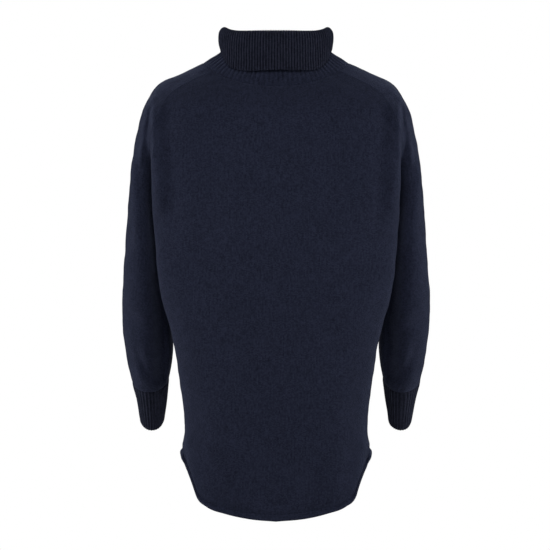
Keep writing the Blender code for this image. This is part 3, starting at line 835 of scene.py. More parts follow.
def oval(row: Arm, turns: Array) -> Array:
    """Points of a tipped oval section.

    Args:
        row: Its sizes.
        turns: Degrees from the inner side by the back.

    Returns:
        A point for each turn.
    """
    angle, tip = np.radians(turns), np.radians(row.tip)
    across = -row.half_width * np.cos(angle)
    deep = -row.half_depth * np.sin(angle)
    return np.column_stack([row.x + across, row.y + deep * np.cos(tip), row.z + deep * np.sin(tip)])


# ---------------------------------------------------------------- finishes


class Graph:
    """The node tree of one material, written as sums."""

    def __init__(self, name: str) -> None:
        """Makes the material and keeps its shader.

        Args:
            name: The material's name.
        """
        self.material = bpy.data.materials.new(name)
        self.material.use_nodes = True
        self.tree = self.material.node_tree
        self.shader = self.tree.nodes["Principled BSDF"]

    def put(self, socket: Socket, value: Socket | float | tuple) -> None:
        """Links a socket, or sets it where the value is a number or a colour.

        Args:
            socket: The input.
            value: What goes into it.
        """
        if isinstance(value, bpy.types.NodeSocket):
            self.tree.links.new(value, socket)
        else:
            socket.default_value = value

    def maths(self, operation: str, *values: Socket | float) -> Socket:
        """Adds a Math node.

        Args:
            operation: What it does.
            *values: Its inputs.

        Returns:
            Its result.
        """
        node = self.tree.nodes.new("ShaderNodeMath")
        node.operation = operation
        for socket, value in zip(node.inputs, values):
            self.put(socket, value)
        return node.outputs[0]

    def cosine(self, turns: Socket, centre: float = 0.5, swing: float = 0.5) -> Socket:
        """centre + swing * cos(2 pi turns)."""
        wave = self.maths("COSINE", self.maths("MULTIPLY", turns, 2 * math.pi))
        return self.maths("MULTIPLY_ADD", wave, swing, centre)

    def noise(self, vector: Socket, scale: float, detail: float = 2.0) -> Socket:
        """Adds a Noise Texture.

        Args:
            vector: Where it is read.
            scale: How fine it is.
            detail: How many finer noises it holds.

        Returns:
            Its value, from 0 to 1.
        """
        node = self.tree.nodes.new("ShaderNodeTexNoise")
        self.put(node.inputs["Vector"], vector)
        node.inputs["Scale"].default_value = scale
        node.inputs["Detail"].default_value = detail
        return node.outputs["Fac"]

    def vector(self, x: Socket | float, y: Socket | float, z: Socket | float = 0.0) -> Socket:
        """Joins three numbers to a vector.

        Args:
            x: The first.
            y: The second.
            z: The third.

        Returns:
            The vector.
        """
        node = self.tree.nodes.new("ShaderNodeCombineXYZ")
        for socket, value in zip(node.inputs, (x, y, z)):
            self.put(socket, value)
        return node.outputs[0]

    def remap(self, value: Socket, low: float, high: float, to_low: float, to_high: float) -> Socket:
        """Moves a value from one range to another, and keeps it inside.

        Args:
            value: The value.
            low: Where the first range begins.
            high: Where it ends.
            to_low: Where the second range begins.
            to_high: Where it ends.

        Returns:
            The moved value.
        """
        node = self.tree.nodes.new("ShaderNodeMapRange")
        for socket, given in zip(node.inputs, (value, low, high, to_low, to_high)):
            self.put(socket, given)
        return node.outputs[0]

    def mix(self, share: Socket, first: tuple, second: tuple) -> Socket:
        """Mixes two colours.

        Args:
            share: The share of the second, from 0 to 1.
            first: The colour at 0.
            second: The colour at 1.

        Returns:
            The colour between them.
        """
        node = self.tree.nodes.new("ShaderNodeMix")
        node.data_type = "RGBA"
        self.put(node.inputs["Factor"], share)
        self.put(node.inputs["A"], first)
        self.put(node.inputs["B"], second)
        return node.outputs["Result"]


@dataclass(frozen=True)
class Mottle:
    """A noise in the yarn's tone: its share of it, its scale and detail, and its stretch down the knit."""

    share: float
    scale: float
    detail: float = 2.0
    stretch: float = 1.0


@dataclass(frozen=True)
class KnitFinish:
    """A knit of dark navy yarn, its stitches drawn along the flat cut that the UV map holds, with painted
    shade in its stitch gaps and rib furrows.
    """

    name: str
    stitch: Stitch = Stitch.KNIT
    dark: tuple[float, float, float, float] = (0.0030, 0.0038, 0.0085, 1.0)
    light: tuple[float, float, float, float] = (0.0250, 0.0300, 0.0580, 1.0)
    wale: float = 2.4 * MM
    course: float = 1.8 * MM
    slant: float = 0.85
    leg_power: float = 0.6
    course_level: float = 0.66
    course_swing: float = 0.34
    purl_bow: float = 0.22
    purl_level: float = 0.8
    purl_swing: float = 0.2
    wander: float = 0.35
    wander_scale: float = 90.0
    streaks: Mottle = Mottle(0.45, 0.85, 1.0, 0.12)
    melange: Mottle = Mottle(0.35, 0.55, 3.0, 0.6)
    fibres: Mottle = Mottle(0.15, 2600.0)
    broad: Mottle = Mottle(0.20, 16.0)
    single_share: float = 0.36
    # Painted shade: the tone falls in the gaps between stitches, by the stitch height.
    gap_shade_share: float = 0.30
    darkest_at: float = 0.36
    lightest_at: float = 1.30
    rib_wales: int = 0
    narrow_rib: int = 2
    narrow_shift: float = 0.25
    crown_power: float = 0.7
    # Painted shade: how far the tone falls in the furrows between ribs.
    furrow_shade: float = 0.55
    relief: float = 0.32 * MM
    fibre_relief: float = 0.10 * MM
    bump: float = 0.8
    roughness: float = 0.95
    specular: float = 0.08
    sheen: float = 0.16
    sheen_roughness: float = 0.45
    sheen_tint: tuple[float, float, float, float] = (0.45, 0.52, 0.85, 1.0)

    def stitches(self, graph: Graph, across: Socket, down: Socket) -> Socket:
        """Height of the stitches, from 0 in the gaps to 1 on the yarn.

        Args:
            graph: The material's tree.
            across: Place in wales.
            down: Place in courses.

        Returns:
            The height.
        """
        if self.stitch == Stitch.PURL:
            bowed = graph.maths("ADD", down, graph.cosine(across, 0.0, self.purl_bow))
            wales = graph.cosine(across, self.purl_level, self.purl_swing)
            return graph.maths("MULTIPLY", graph.cosine(bowed), wales)
        from_middle = graph.maths("PINGPONG", across, 0.5)
        leg = graph.maths("SINE", graph.maths("MULTIPLY", from_middle, 2 * math.pi))
        leg = graph.maths("POWER", graph.maths("MAXIMUM", leg, 0.0), self.leg_power)
        slanted = graph.maths("MULTIPLY_ADD", from_middle, -2 * self.slant, down)
        courses = graph.cosine(slanted, self.course_level, self.course_swing)
        return graph.maths("MULTIPLY", leg, courses)

    def mottle(self, graph: Graph, noise: Mottle, across: Socket, down: Socket) -> Socket:
        """One of the noises that run with the stitches.

        Args:
            graph: The material's tree.
            noise: Its sizes.
            across: Place in wales.
            down: Place in courses.

        Returns:
            Its value.
        """
        place = graph.vector(across, graph.maths("MULTIPLY", down, noise.stretch))
        return graph.noise(place, noise.scale, noise.detail)

    def ribbed(self, graph: Graph, tone: Socket, along_width: Socket) -> Socket:
        """Paints shade into the furrows between the ribs.

        Args:
            graph: The material's tree.
            tone: The yarn's tone.
            along_width: Place across the flat cut.

        Returns:
            The tone with painted shade in its furrows.
        """
        centre = graph.maths("MULTIPLY_ADD", along_width, 1 / self.wale / self.rib_wales, 0.0)
        if self.rib_wales == self.narrow_rib:
            centre = graph.maths("SUBTRACT", centre, self.narrow_shift)
        crown = graph.maths("POWER", graph.cosine(centre), self.crown_power)
        lowered = graph.maths("SUBTRACT", tone, self.furrow_shade)
        return graph.maths("MULTIPLY_ADD", crown, self.furrow_shade, lowered)

    def build(self) -> bpy.types.Material:
        """Makes the knit.

        Returns:
            The material.
        """
        graph = Graph(self.name)
        tree, shader = graph.tree, graph.shader
        place = tree.nodes.new("ShaderNodeUVMap")
        place.uv_map = "flat"
        split = tree.nodes.new("ShaderNodeSeparateXYZ")
        graph.put(split.inputs[0], place.outputs[0])
        drift = graph.noise(place.outputs[0], self.wander_scale)
        drift = graph.maths("MULTIPLY_ADD", drift, 2 * self.wander, -self.wander)
        across = graph.maths("MULTIPLY_ADD", split.outputs[0], 1 / self.wale, drift)
        down = graph.maths("MULTIPLY_ADD", split.outputs[1], 1 / self.course, drift)
        height = self.stitches(graph, across, down)

        streaks = self.mottle(graph, self.streaks, across, down)
        melange = self.mottle(graph, self.melange, across, down)
        fibres = graph.noise(place.outputs[0], self.fibres.scale, self.fibres.detail)
        broad = graph.noise(place.outputs[0], self.broad.scale, self.broad.detail)
        single = tree.nodes.new("ShaderNodeTexWhiteNoise")
        single.noise_dimensions = "2D"
        stitch = (graph.maths("FLOOR", across), graph.maths("FLOOR", down))
        graph.put(single.inputs["Vector"], graph.vector(*stitch))
        # The tone is random yarn mottle, plus painted shade in the gaps between stitches.
        tone = graph.maths("MULTIPLY", streaks, self.streaks.share)
        shares = (
            (melange, self.melange.share),
            (fibres, self.fibres.share),
            (broad, self.broad.share),
            (single.outputs["Value"], self.single_share),
            (height, self.gap_shade_share),
        )
        for part, share in shares:
            tone = graph.maths("MULTIPLY_ADD", part, share, tone)
        # Painted shade in the furrows between the ribs.
        if self.rib_wales:
            tone = self.ribbed(graph, tone, split.outputs[0])
        light = graph.remap(tone, self.darkest_at, self.lightest_at, 0.0, 1.0)
        graph.put(shader.inputs["Base Color"], graph.mix(light, self.dark, self.light))

        rough = graph.maths("MULTIPLY_ADD", fibres, self.fibre_relief, 0.0)
        total = graph.maths("MULTIPLY_ADD", height, self.relief, rough)
        bump = tree.nodes.new("ShaderNodeBump")
        bump.inputs["Strength"].default_value = self.bump
        bump.inputs["Distance"].default_value = 1.0
        graph.put(bump.inputs["Height"], total)
        graph.put(shader.inputs["Normal"], bump.outputs[0])

        shader.inputs["Roughness"].default_value = self.roughness
        shader.inputs["Specular IOR Level"].default_value = self.specular
        shader.inputs["Sheen Weight"].default_value = self.sheen
        shader.inputs["Sheen Roughness"].default_value = self.sheen_roughness
        shader.inputs["Sheen Tint"].default_value = self.sheen_tint
        return graph.material


@dataclass(frozen=True)
class PlainFinish:
    """A matt surface of one pale colour, for the studio."""

    name: str
    colour: tuple[float, float, float, float]
    roughness: float = 0.9

    def build(self) -> bpy.types.Material:
        """Makes the surface.

        Returns:
            The material.
        """
        graph = Graph(self.name)
        graph.shader.inputs["Base Color"].default_value = self.colour
        graph.shader.inputs["Roughness"].default_value = self.roughness
        return graph.material


# ---------------------------------------------------------------- knitted walls


@dataclass
class Wall:
    """A knitted wall around a middle surface, closed over round edges."""

    points: Array
    normals: Array
    flat: Array
    thickness: float | Array
    tube: bool = False
    outer_relief: float | Array = 0.0
    inner_relief: float | Array = 0.0
    first_rim: float = 0.5 * MM
    last_rim: float = 0.5 * MM
    side_rim: float = 0.5 * MM
    edge_turns: tuple[float, ...] = (90.0, 62.0, 32.0)

    def ends(self, count: int, closed: bool) -> tuple[Array, Array, Array]:
        """Lines of the mesh in one direction.

        Args:
            count: Lines of the middle surface.
            closed: Whether they meet, so that there is no edge.

        Returns:
            For each line of the mesh its line of the middle surface, how far it has turned over the
            edge in radians, and which end it lies at: -1, 0 or 1.
        """
        inner = np.arange(count)
        if closed:
            return inner, np.zeros(count), np.zeros(count)
        turn = np.radians(self.edge_turns)
        extra = len(turn)
        line = np.concatenate([np.zeros(extra, int), inner, np.full(extra, count - 1)])
        turned = np.concatenate([turn, np.zeros(count), turn[::-1]])
        end = np.concatenate([np.full(extra, -1), np.zeros(count), np.full(extra, 1)])
        return line, turned, end

    def level(self, ways: Array) -> Array:
        """Directions without their part along the normals, so that edges in a fold stay apart."""
        return ways - (ways * self.normals).sum(axis=-1, keepdims=True) * self.normals

    def surface(self, side: int) -> Array:
        """Points of one surface, with its half of each edge.

        Args:
            side: 1 for the outer surface, -1 for the inner one.

        Returns:
            Rows and columns of points.
        """
        rows, row_turn, row_end = self.ends(self.points.shape[0], False)
        columns, column_turn, column_end = self.ends(self.points.shape[1], self.tube)
        grid = self.points[rows][:, columns]
        normal = self.normals[rows][:, columns]
        shape = self.points.shape[:2]
        half = np.broadcast_to(np.asarray(self.thickness, float) / 2, shape)
        outer = half + np.broadcast_to(np.asarray(self.outer_relief, float), shape)
        inner = half + np.broadcast_to(np.asarray(self.inner_relief, float), shape)
        lift = (outer if side > 0 else inner)[rows][:, columns]
        rim = np.where(row_end < 0, self.first_rim, self.last_rim)
        down = np.gradient(self.points, axis=0)
        aside = np.gradient(self.points, axis=1)
        along_rows = self.level(unit(down))[rows][:, columns] * row_end[:, None, None]
        along_columns = self.level(unit(aside))[rows][:, columns] * column_end[None, :, None]
        rise = np.cos(row_turn)[:, None] * np.cos(column_turn)[None, :] * lift
        over_rows = (np.sin(row_turn) * rim)[:, None, None]
        over_columns = (np.sin(column_turn) * self.side_rim)[None, :, None]
        moved = grid + side * normal * rise[..., None]
        return moved + along_rows * over_rows + along_columns * over_columns

    def build(self, name: str, finishes: tuple[bpy.types.Material, ...]) -> bpy.types.Object:
        """Makes the mesh and its object.

        Args:
            name: The object's name.
            finishes: Materials of the outer and the inner side.

        Returns:
            The object, at the origin.
        """
        outer, inner = self.surface(1), self.surface(-1)
        count = outer.shape[:2]
        outer_id = np.arange(count[0] * count[1]).reshape(count)
        inner_id = outer_id + outer_id.size
        for rows in (0, -1):
            inner_id[rows] = outer_id[rows]
        if self.tube:
            outer_id[:, -1] = outer_id[:, 0]
            inner_id[:, -1] = inner_id[:, 0]
        else:
            for columns in (0, -1):
                inner_id[:, columns] = outer_id[:, columns]
        points = np.concatenate([outer.reshape(-1, 3), inner.reshape(-1, 3)])
        rows = self.ends(self.points.shape[0], False)[0]
        columns = self.ends(self.points.shape[1], self.tube)[0]
        flat = self.flat[rows][:, columns]

        def quads(ids: Array, turned: bool) -> Array:
            """Corners of the faces between neighbouring lines."""
            ring = [ids[:-1, :-1], ids[:-1, 1:], ids[1:, 1:], ids[1:, :-1]]
            return np.stack(ring[::-1] if turned else ring, axis=-1).reshape(-1, 4)

        place_id = np.arange(count[0] * count[1]).reshape(count)
        corners = np.concatenate([quads(outer_id, False), quads(inner_id, True)])
        places = np.concatenate([quads(place_id, False), quads(place_id, True)])
        used, corners = np.unique(corners, return_inverse=True)
        corners = corners.reshape(-1, 4)
        mesh = bpy.data.meshes.new(name)
        mesh.vertices.add(len(used))
        mesh.vertices.foreach_set("co", points[used].astype(np.float32).ravel())
        mesh.loops.add(corners.size)
        mesh.loops.foreach_set("vertex_index", corners.astype(np.int32).ravel())
        mesh.polygons.add(len(corners))
        mesh.polygons.foreach_set("loop_start", np.arange(0, corners.size, 4, dtype=np.int32))
        inside = (np.arange(len(corners)) >= len(corners) // 2).astype(np.int32)
        mesh.polygons.foreach_set("material_index", inside)
        mesh.update(calc_edges=True)
        layer = mesh.uv_layers.new(name="flat")
        layer.data.foreach_set("uv", flat.reshape(-1, 2)[places.ravel()].astype(np.float32).ravel())
        for finish in finishes:
            mesh.materials.append(finish)
        mesh.shade_smooth()
        piece = bpy.data.objects.new(name, mesh)
        bpy.context.scene.collection.objects.link(piece)
        return piece


@dataclass(frozen=True)
class Cut:
    """The flat cut of a piece, in metres and square metres."""

    width: float
    length: float
    area: float | None = None


@dataclass
class Kit:
    """The finishes that every piece is made with, and the way that it is built."""

    knit: bpy.types.Material
    purl: bpy.types.Material
    rib: bpy.types.Material
    band: bpy.types.Material

    def settle(self, wall: Wall, name: str, node: str, slot: str) -> None:
        """Args:
            wall: Its form.
            name: Its name.
            node: The solid that it stands for.
            slot: Which finishes it takes.
        """
        plain = slot in ("knit", "hem_knit")
        finishes = (self.knit, self.purl) if plain else (self.rib, self.rib)
        if slot == "neck_rib_knit":
            finishes = (self.band, self.band)
        piece = wall.build(name, finishes)
        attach(piece, "root")
        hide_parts(node)
        log.info("%s: %d faces", piece.name, len(piece.data.polygons))


# ---------------------------------------------------------------- panels, sleeves and hem bands


@dataclass
class BodyPieces:
    """The back, the front, the two sleeves and the two hem bands."""

    form: BodyForm
    wall: float = 2.2 * MM
    rim: float = 0.5 * MM
    beside_seam: tuple[float, ...] = (0.8 * MM, 1.8 * MM, 3.2 * MM, 5.0 * MM, 7.5 * MM)
    seam_ridge: float = 0.2 * MM
    seam_reach: float = 2.6 * MM
    hem_wall: float = 3.4 * MM
    hem_rows: int = 13
    hem_swell: float = 1.1 * MM
    hem_lap: float = 1.5 * MM
    hem_tuck: float = 2.5 * MM
    tuck_reach: float = 3.2 * MM
    back_cut: Cut = Cut(0.62, 0.80, 0.40)
    front_cut: Cut = Cut(0.55, 0.74, 0.33)
    sleeve_cut: Cut = Cut(0.34, 0.70, 0.165)
    hem_back_cut: Cut = Cut(0.57, 0.013)
    hem_front_cut: Cut = Cut(0.47, 0.014)

    def layers(self, name: str) -> Array:
        """A grid with its outward directions and its flat places beside its points."""
        form = self.form
        return np.concatenate([form.grids[name], form.normals[name], form.flats[name]], axis=-1)

    def sheet(self, layers: Array, end: float) -> Wall:
        """A wall of plain knit with a low ridge along its side seams.

        Args:
            layers: Its points, outward directions and flat places.
            end: Length to take off at the bottom.

        Returns:
            The wall, whose other edges stop half a seam's gap short of the given outline.
        """
        ease = self.rim + SEAM_GAP / 2
        layers = trimmed(layers, ease, end, 0)
        layers = trimmed(layers, ease, ease, 1, self.beside_seam)
        points = layers[..., :3]
        way = np.array([along(row) for row in points])
        from_seam = np.minimum(way, way[:, -1:] - way)
        ridge = self.seam_ridge * np.exp(-((from_seam / self.seam_reach) ** 2))
        wall = Wall(points, unit(layers[..., 3:6]), layers[..., 6:], self.wall, False, ridge, ridge)
        wall.first_rim = wall.last_rim = wall.side_rim = self.rim
        return wall

    def tuck(self, from_seam: Array) -> Array:
        """How far the cloth is drawn in at distances from the hem band's seam."""
        return self.hem_tuck * np.exp(-((from_seam / self.tuck_reach) ** 2))

    def panel(self, name: str) -> Wall:
        """The back or the front, lapping a little into its hem band.

        Args:
            name: The name of its grid.

        Returns:
            Its wall.
        """
        layers = self.layers(name)
        down = np.array([along(column) for column in layers[..., :3].transpose(1, 0, 2)]).T
        layers[..., :3] -= layers[..., 3:6] * self.tuck(down - down[-2])[..., None]
        return self.sheet(layers, self.form.hem_band * CM - self.hem_lap)

    def hem_band(self, name: str) -> Wall:
        """The band below a panel, knitted double and a little swollen.

        Args:
            name: The name of the panel's grid.

        Returns:
            Its wall.
        """
        share = np.linspace(0, 1, self.hem_rows)
        layers = self.layers(name)
        layers = layers[-2] + (layers[-1] - layers[-2]) * share[:, None, None]
        drawn = self.tuck(share * self.form.hem_band * CM)
        layers[..., :3] -= layers[..., 3:6] * drawn[:, None, None]
        ease = self.rim + SEAM_GAP / 2
        layers = trimmed(layers, ease, self.hem_wall / 2, 0)
        layers = trimmed(layers, ease, ease, 1)
        swell = self.hem_swell * np.sin(np.pi * share)[:, None] * np.ones(layers.shape[1])
        directions = unit(layers[..., 3:6])
        wall = Wall(layers[..., :3], directions, layers[..., 6:], self.hem_wall, False, swell, swell)
        wall.first_rim = wall.side_rim = self.rim
        wall.last_rim = self.hem_wall / 2
        return wall

    def sleeve(self, side: Side) -> Wall:
        """A sleeve, from the neckline to the cuff's seam, with its edges meeting under the arm."""
        return self.sheet(self.layers("sleeve_" + side.name.lower()), self.rim + SEAM_GAP / 2)

    def build(self, kit: Kit) -> None:
        """Makes the six pieces.

        Args:
            kit: The finishes.
        """
        kit.settle(self.panel("back"), "back_knit", "back_panel", "knit")
        kit.settle(self.panel("front"), "front_knit", "front_panel", "knit")
        for side in Side:
            name = "sleeve_" + side.name.lower()
            kit.settle(self.sleeve(side), name + "_knit", name, "knit")
        for name, cut in (("back", self.hem_back_cut), ("front", self.hem_front_cut)):
            band, node = "hem_" + name + "_knit", "hem_band_" + name
            kit.settle(self.hem_band(name), band, node, "hem_knit")


# ---------------------------------------------------------------- neck rib and collar


@dataclass
class Neck:
    """The neck's oval, which the rib band and the collar's stand share."""

    half_width: float = 8.75
    back: float = 6.3
    front: float = 7.0
    dip_power: float = 7.0
    dense: int = 960

    def oval(self, shares: Array) -> tuple[Array, Array, Array, Array]:
        """Points of the oval, from the back by the wearer's left.

        Args:
            shares: Shares of the way around.

        Returns:
            The points in plan, their outward directions, how far a ring dips there, and whether
            they lie at the back.
        """
        turn = np.linspace(0, 2 * np.pi, self.dense, endpoint=False)
        line = self.plan(turn)
        way = along(np.concatenate([line, line[:1]]))
        angle = np.interp(np.asarray(shares) * way[-1], way, np.append(turn, 2 * np.pi))
        deep = self.depth(angle)
        out = unit(np.column_stack([-np.sin(angle) / self.half_width, -np.cos(angle) / deep]))
        dip = 1 - np.abs(np.sin(angle)) ** self.dip_power
        return self.plan(angle), out, dip, np.cos(angle) > 0

    def depth(self, angle: Array) -> Array:
        """Half the oval's depth, at the back or the front."""
        return np.where(np.cos(angle) > 0, self.back, self.front)

    def plan(self, angle: Array) -> Array:
        """Points of the oval at turns from the back."""
        return np.column_stack([-self.half_width * np.sin(angle), -self.depth(angle) * np.cos(angle)])

    def ring(self, row: Roll, shares: Array) -> Array:
        """One level ring of the collar.

        Args:
            row: Its sizes.
            shares: Shares of the way around for its points.

        Returns:
            Its points, in centimetres.
        """
        plan, out, dip, is_back = self.oval(shares)
        low = np.where(is_back, row.back_z, row.front_z)
        reach = row.side_out + (row.low_out - row.side_out) * dip
        return np.column_stack([plan + out * reach[:, None], row.side_z + (low - row.side_z) * dip])


def ring_normals(rings: Array) -> Array:
    """Outward directions of closed rings that run down a surface."""
    around = np.roll(rings, -1, axis=1) - np.roll(rings, 1, axis=1)
    return unit(np.cross(around, np.gradient(rings, axis=0)))


@dataclass
class RibbedTube:
    """A ribbed band, collar or cuff on closed rings, with its ribs on both sides."""

    ribs: int
    steps: int
    relief: float
    wale: float
    wales: int
    wall: float = 1.5 * MM
    sharpness: float = 0.5
    rim: float = 0.5 * MM

    def shares(self) -> Array:
        """Shares of the way around for its columns, with a rib on every whole number of steps."""
        return np.arange(self.ribs * self.steps) / (self.ribs * self.steps)

    def wall_on(self, rings: Array, normals: Array, fade: Array, free: bool) -> Wall:
        """Its wall.

        Args:
            rings: Closed rings down the middle surface, each without its first point repeated.
            normals: Their outward directions.
            fade: The ribs' strength at each point, from 0 to 1.
            free: Whether the last ring is a free edge and not a seam.

        Returns:
            The wall.
        """
        rings, normals, fade = (np.concatenate([a, a[:, :1]], axis=1) for a in (rings, normals, fade))
        down = np.linalg.norm(np.diff(rings, axis=0), axis=2).mean(axis=1)
        down = np.concatenate([[0.0], np.cumsum(down)])
        turns = np.linspace(0, self.ribs, rings.shape[1])
        # On a rib of two wales the middle of a stitch runs along the crown.
        shift = 0.5 * self.wale if self.wales == 2 else 0.0
        across = turns * self.wales * self.wale + shift
        flat = np.stack(np.broadcast_arrays(across[None, :], down[:, None]), axis=-1)
        wave = np.cos(2 * np.pi * turns)[None, :]
        outer = (0.5 + 0.5 * wave) ** self.sharpness
        inner = (0.5 - 0.5 * wave) ** self.sharpness
        both = np.concatenate([rings, normals, flat, fade[..., None]], axis=-1)
        round_edge = (self.wall + self.relief) / 2
        both = trimmed(both, self.rim, round_edge if free else self.rim, 0)
        strength = both[..., 8] * self.relief
        points, normals, flat = both[..., :3], unit(both[..., 3:6]), both[..., 6:8]
        wall = Wall(points, normals, flat, self.wall, True, strength * outer, strength * inner)
        wall.first_rim = self.rim
        wall.last_rim = round_edge if free else self.rim
        return wall


@dataclass
class NeckRib:
    """The wide rib band between the neckline and the collar, a little hollow on its way."""

    neck: Neck
    top: Roll = Roll(0.00, 0.00, 1.90, -1.00, -2.60)
    sag: float = 0.2
    sag_at: float = 0.72
    facing_out: float = 0.55
    facing_up: float = 0.83
    sag_left: float = 0.2
    rows: int = 22
    blend: float = 0.3
    ribs_from: float = 0.3
    least_relief: float = 0.05
    low_relief: float = 0.55
    side_relief: float = 0.45
    coarse: int = 56
    knit: RibbedTube = field(default_factory=lambda: RibbedTube(80, 8, 1.7 * MM, 2.1 * MM, 4))
    cut: Cut = Cut(0.72, 0.053, 0.033)

    def build(self, neckline: Array, kit: Kit) -> None:
        """Makes the band.

        Args:
            neckline: The neckline's points and outward directions.
            kit: The finishes.
        """
        shares = self.knit.shares()
        base = on_line(neckline, shares)
        top = on_line(self.neck.ring(self.top, np.arange(self.coarse) / self.coarse), shares) * CM
        _, out, dip, _ = self.neck.oval(shares)
        points, directions = base[:, :3], unit(base[:, 3:])
        facing = np.column_stack([out * self.facing_out, np.full(len(out), self.facing_up)])
        sag = self.sag * CM * (1 - (1 - self.sag_left) * dip)
        sagged = points + (top - points) * self.sag_at - facing * sag[:, None]
        way = np.linspace(1, 0, self.rows)
        rings = spline([0.0, self.sag_at, 1.0], [points, sagged, top], way)
        normals = ring_normals(rings)
        near_top = np.clip(1 - (1 - way) / self.blend, 0, 1)[:, None, None]
        near_base = np.clip(1 - way / self.blend, 0, 1)[:, None, None]
        level = np.column_stack([out, np.zeros(len(out))])
        normals = unit(normals * (1 - near_top) + level * near_top)
        normals = unit(normals * (1 - near_base) + directions * near_base)
        down_fade = np.clip(way / self.ribs_from, self.least_relief, 1)
        around_fade = self.low_relief + self.side_relief * (1 - dip**2)
        fade = down_fade[:, None] * around_fade[None, :]
        wall = self.knit.wall_on(rings, normals, fade, False)
        kit.settle(wall, "neck_rib_knit", "neck_rib", "neck_rib_knit")


@dataclass
class RollCollar:
    """The collar: its stand, its roll and its turned-down flap in one knitted tube."""

    neck: Neck
    rows: int = 46
    wobble: float = 0.8 * MM
    wobble_power: int = 3
    bulge: float = 3.0
    bulge_seed: int = 21
    dip: float = 4.0
    dip_seed: int = 22
    knit: RibbedTube = field(default_factory=lambda: RibbedTube(112, 6, 1.9 * MM, 2.6 * MM, 2))
    cut: Cut = Cut(0.60, 0.14)

    def build(self, kit: Kit) -> None:
        """Makes the collar from the foot of its stand, over the roll and down to its free edge.

        Args:
            kit: The finishes.
        """
        shares = self.knit.shares()
        knots = np.arange(len(COLLAR), dtype=float)
        rings = np.array([self.neck.ring(row, shares) for row in COLLAR]) * CM
        rings = spline(knots, rings, np.linspace(knots[-1], 0, self.rows))
        normals = ring_normals(rings)
        free = np.linspace(0, 1, self.rows)[:, None] ** self.wobble_power
        uneven = smooth_noise(rings / CM, self.bulge, self.bulge_seed) * self.wobble * free
        rings = rings + normals * uneven[..., None]
        rings[..., 2] += smooth_noise(rings / CM, self.dip, self.dip_seed) * self.wobble * free
        normals = ring_normals(rings)
        fade = np.ones(rings.shape[:2])
        wall = self.knit.wall_on(rings, normals, fade, True)
        kit.settle(wall, "collar_knit", "collar", "rib_knit")


# ---------------------------------------------------------------- cuffs


@dataclass
class Cuff:
    """A ribbed cuff, from the sleeve's last ring to its mouth."""

    side: Side
    rows: int = 34
    turns: int = 240
    blend: float = 0.15
    least_relief: float = 0.35
    ribs_over: float = 0.12
    flare: float = 0.5 * MM
    flare_size: float = 3.5
    flare_seed: int = 31
    knit: RibbedTube = field(default_factory=lambda: RibbedTube(40, 8, 1.5 * MM, 2.5 * MM, 2))
    cut: Cut = Cut(0.27, 0.09, 0.021)

    def build(self, seam: Array, kit: Kit) -> None:
        """Makes the cuff.

        Args:
            seam: The points and outward directions of the sleeve's last ring.
            kit: The finishes.
        """
        shares = self.knit.shares()
        top = on_line(seam, shares)
        turns = np.linspace(0, 360, self.turns, endpoint=False)
        below = [on_line(oval(row, turns), shares) * CM for row in CUFF]
        if self.side == Side.LEFT:
            below = [mirrored(ring) for ring in below]
        else:
            below = [np.roll(ring[::-1], 1, axis=0) for ring in below]
        way = np.linspace(0, 1, self.rows)
        rings = spline([0.0, 0.5, 1.0], np.array([top[:, :3]] + below), way)
        normals = ring_normals(rings)
        near_top = np.clip(1 - way / self.blend, 0, 1)[:, None, None]
        normals = unit(normals * (1 - near_top) + unit(top[:, 3:]) * near_top)
        uneven = smooth_noise(rings / CM, self.flare_size, self.flare_seed) * self.flare
        rings = rings + normals * uneven[..., None]
        fade = np.clip(self.least_relief + way / self.ribs_over, 0, 1)[:, None] * np.ones(rings.shape[1])
        wall = self.knit.wall_on(rings, normals, fade, True)
        name = self.side.name.lower()
        kit.settle(wall, "cuff_" + name + "_knit", "cuff_" + name, "rib_knit")


# ---------------------------------------------------------------- studio


@dataclass(frozen=True)
class SoftLight:
    """A square lamp of soft white light, aimed at the middle of the sweater."""

    name: str
    place: tuple[float, float, float]
    size: float
    power: float
    colour: tuple[float, float, float] = (1.0, 1.0, 1.0)


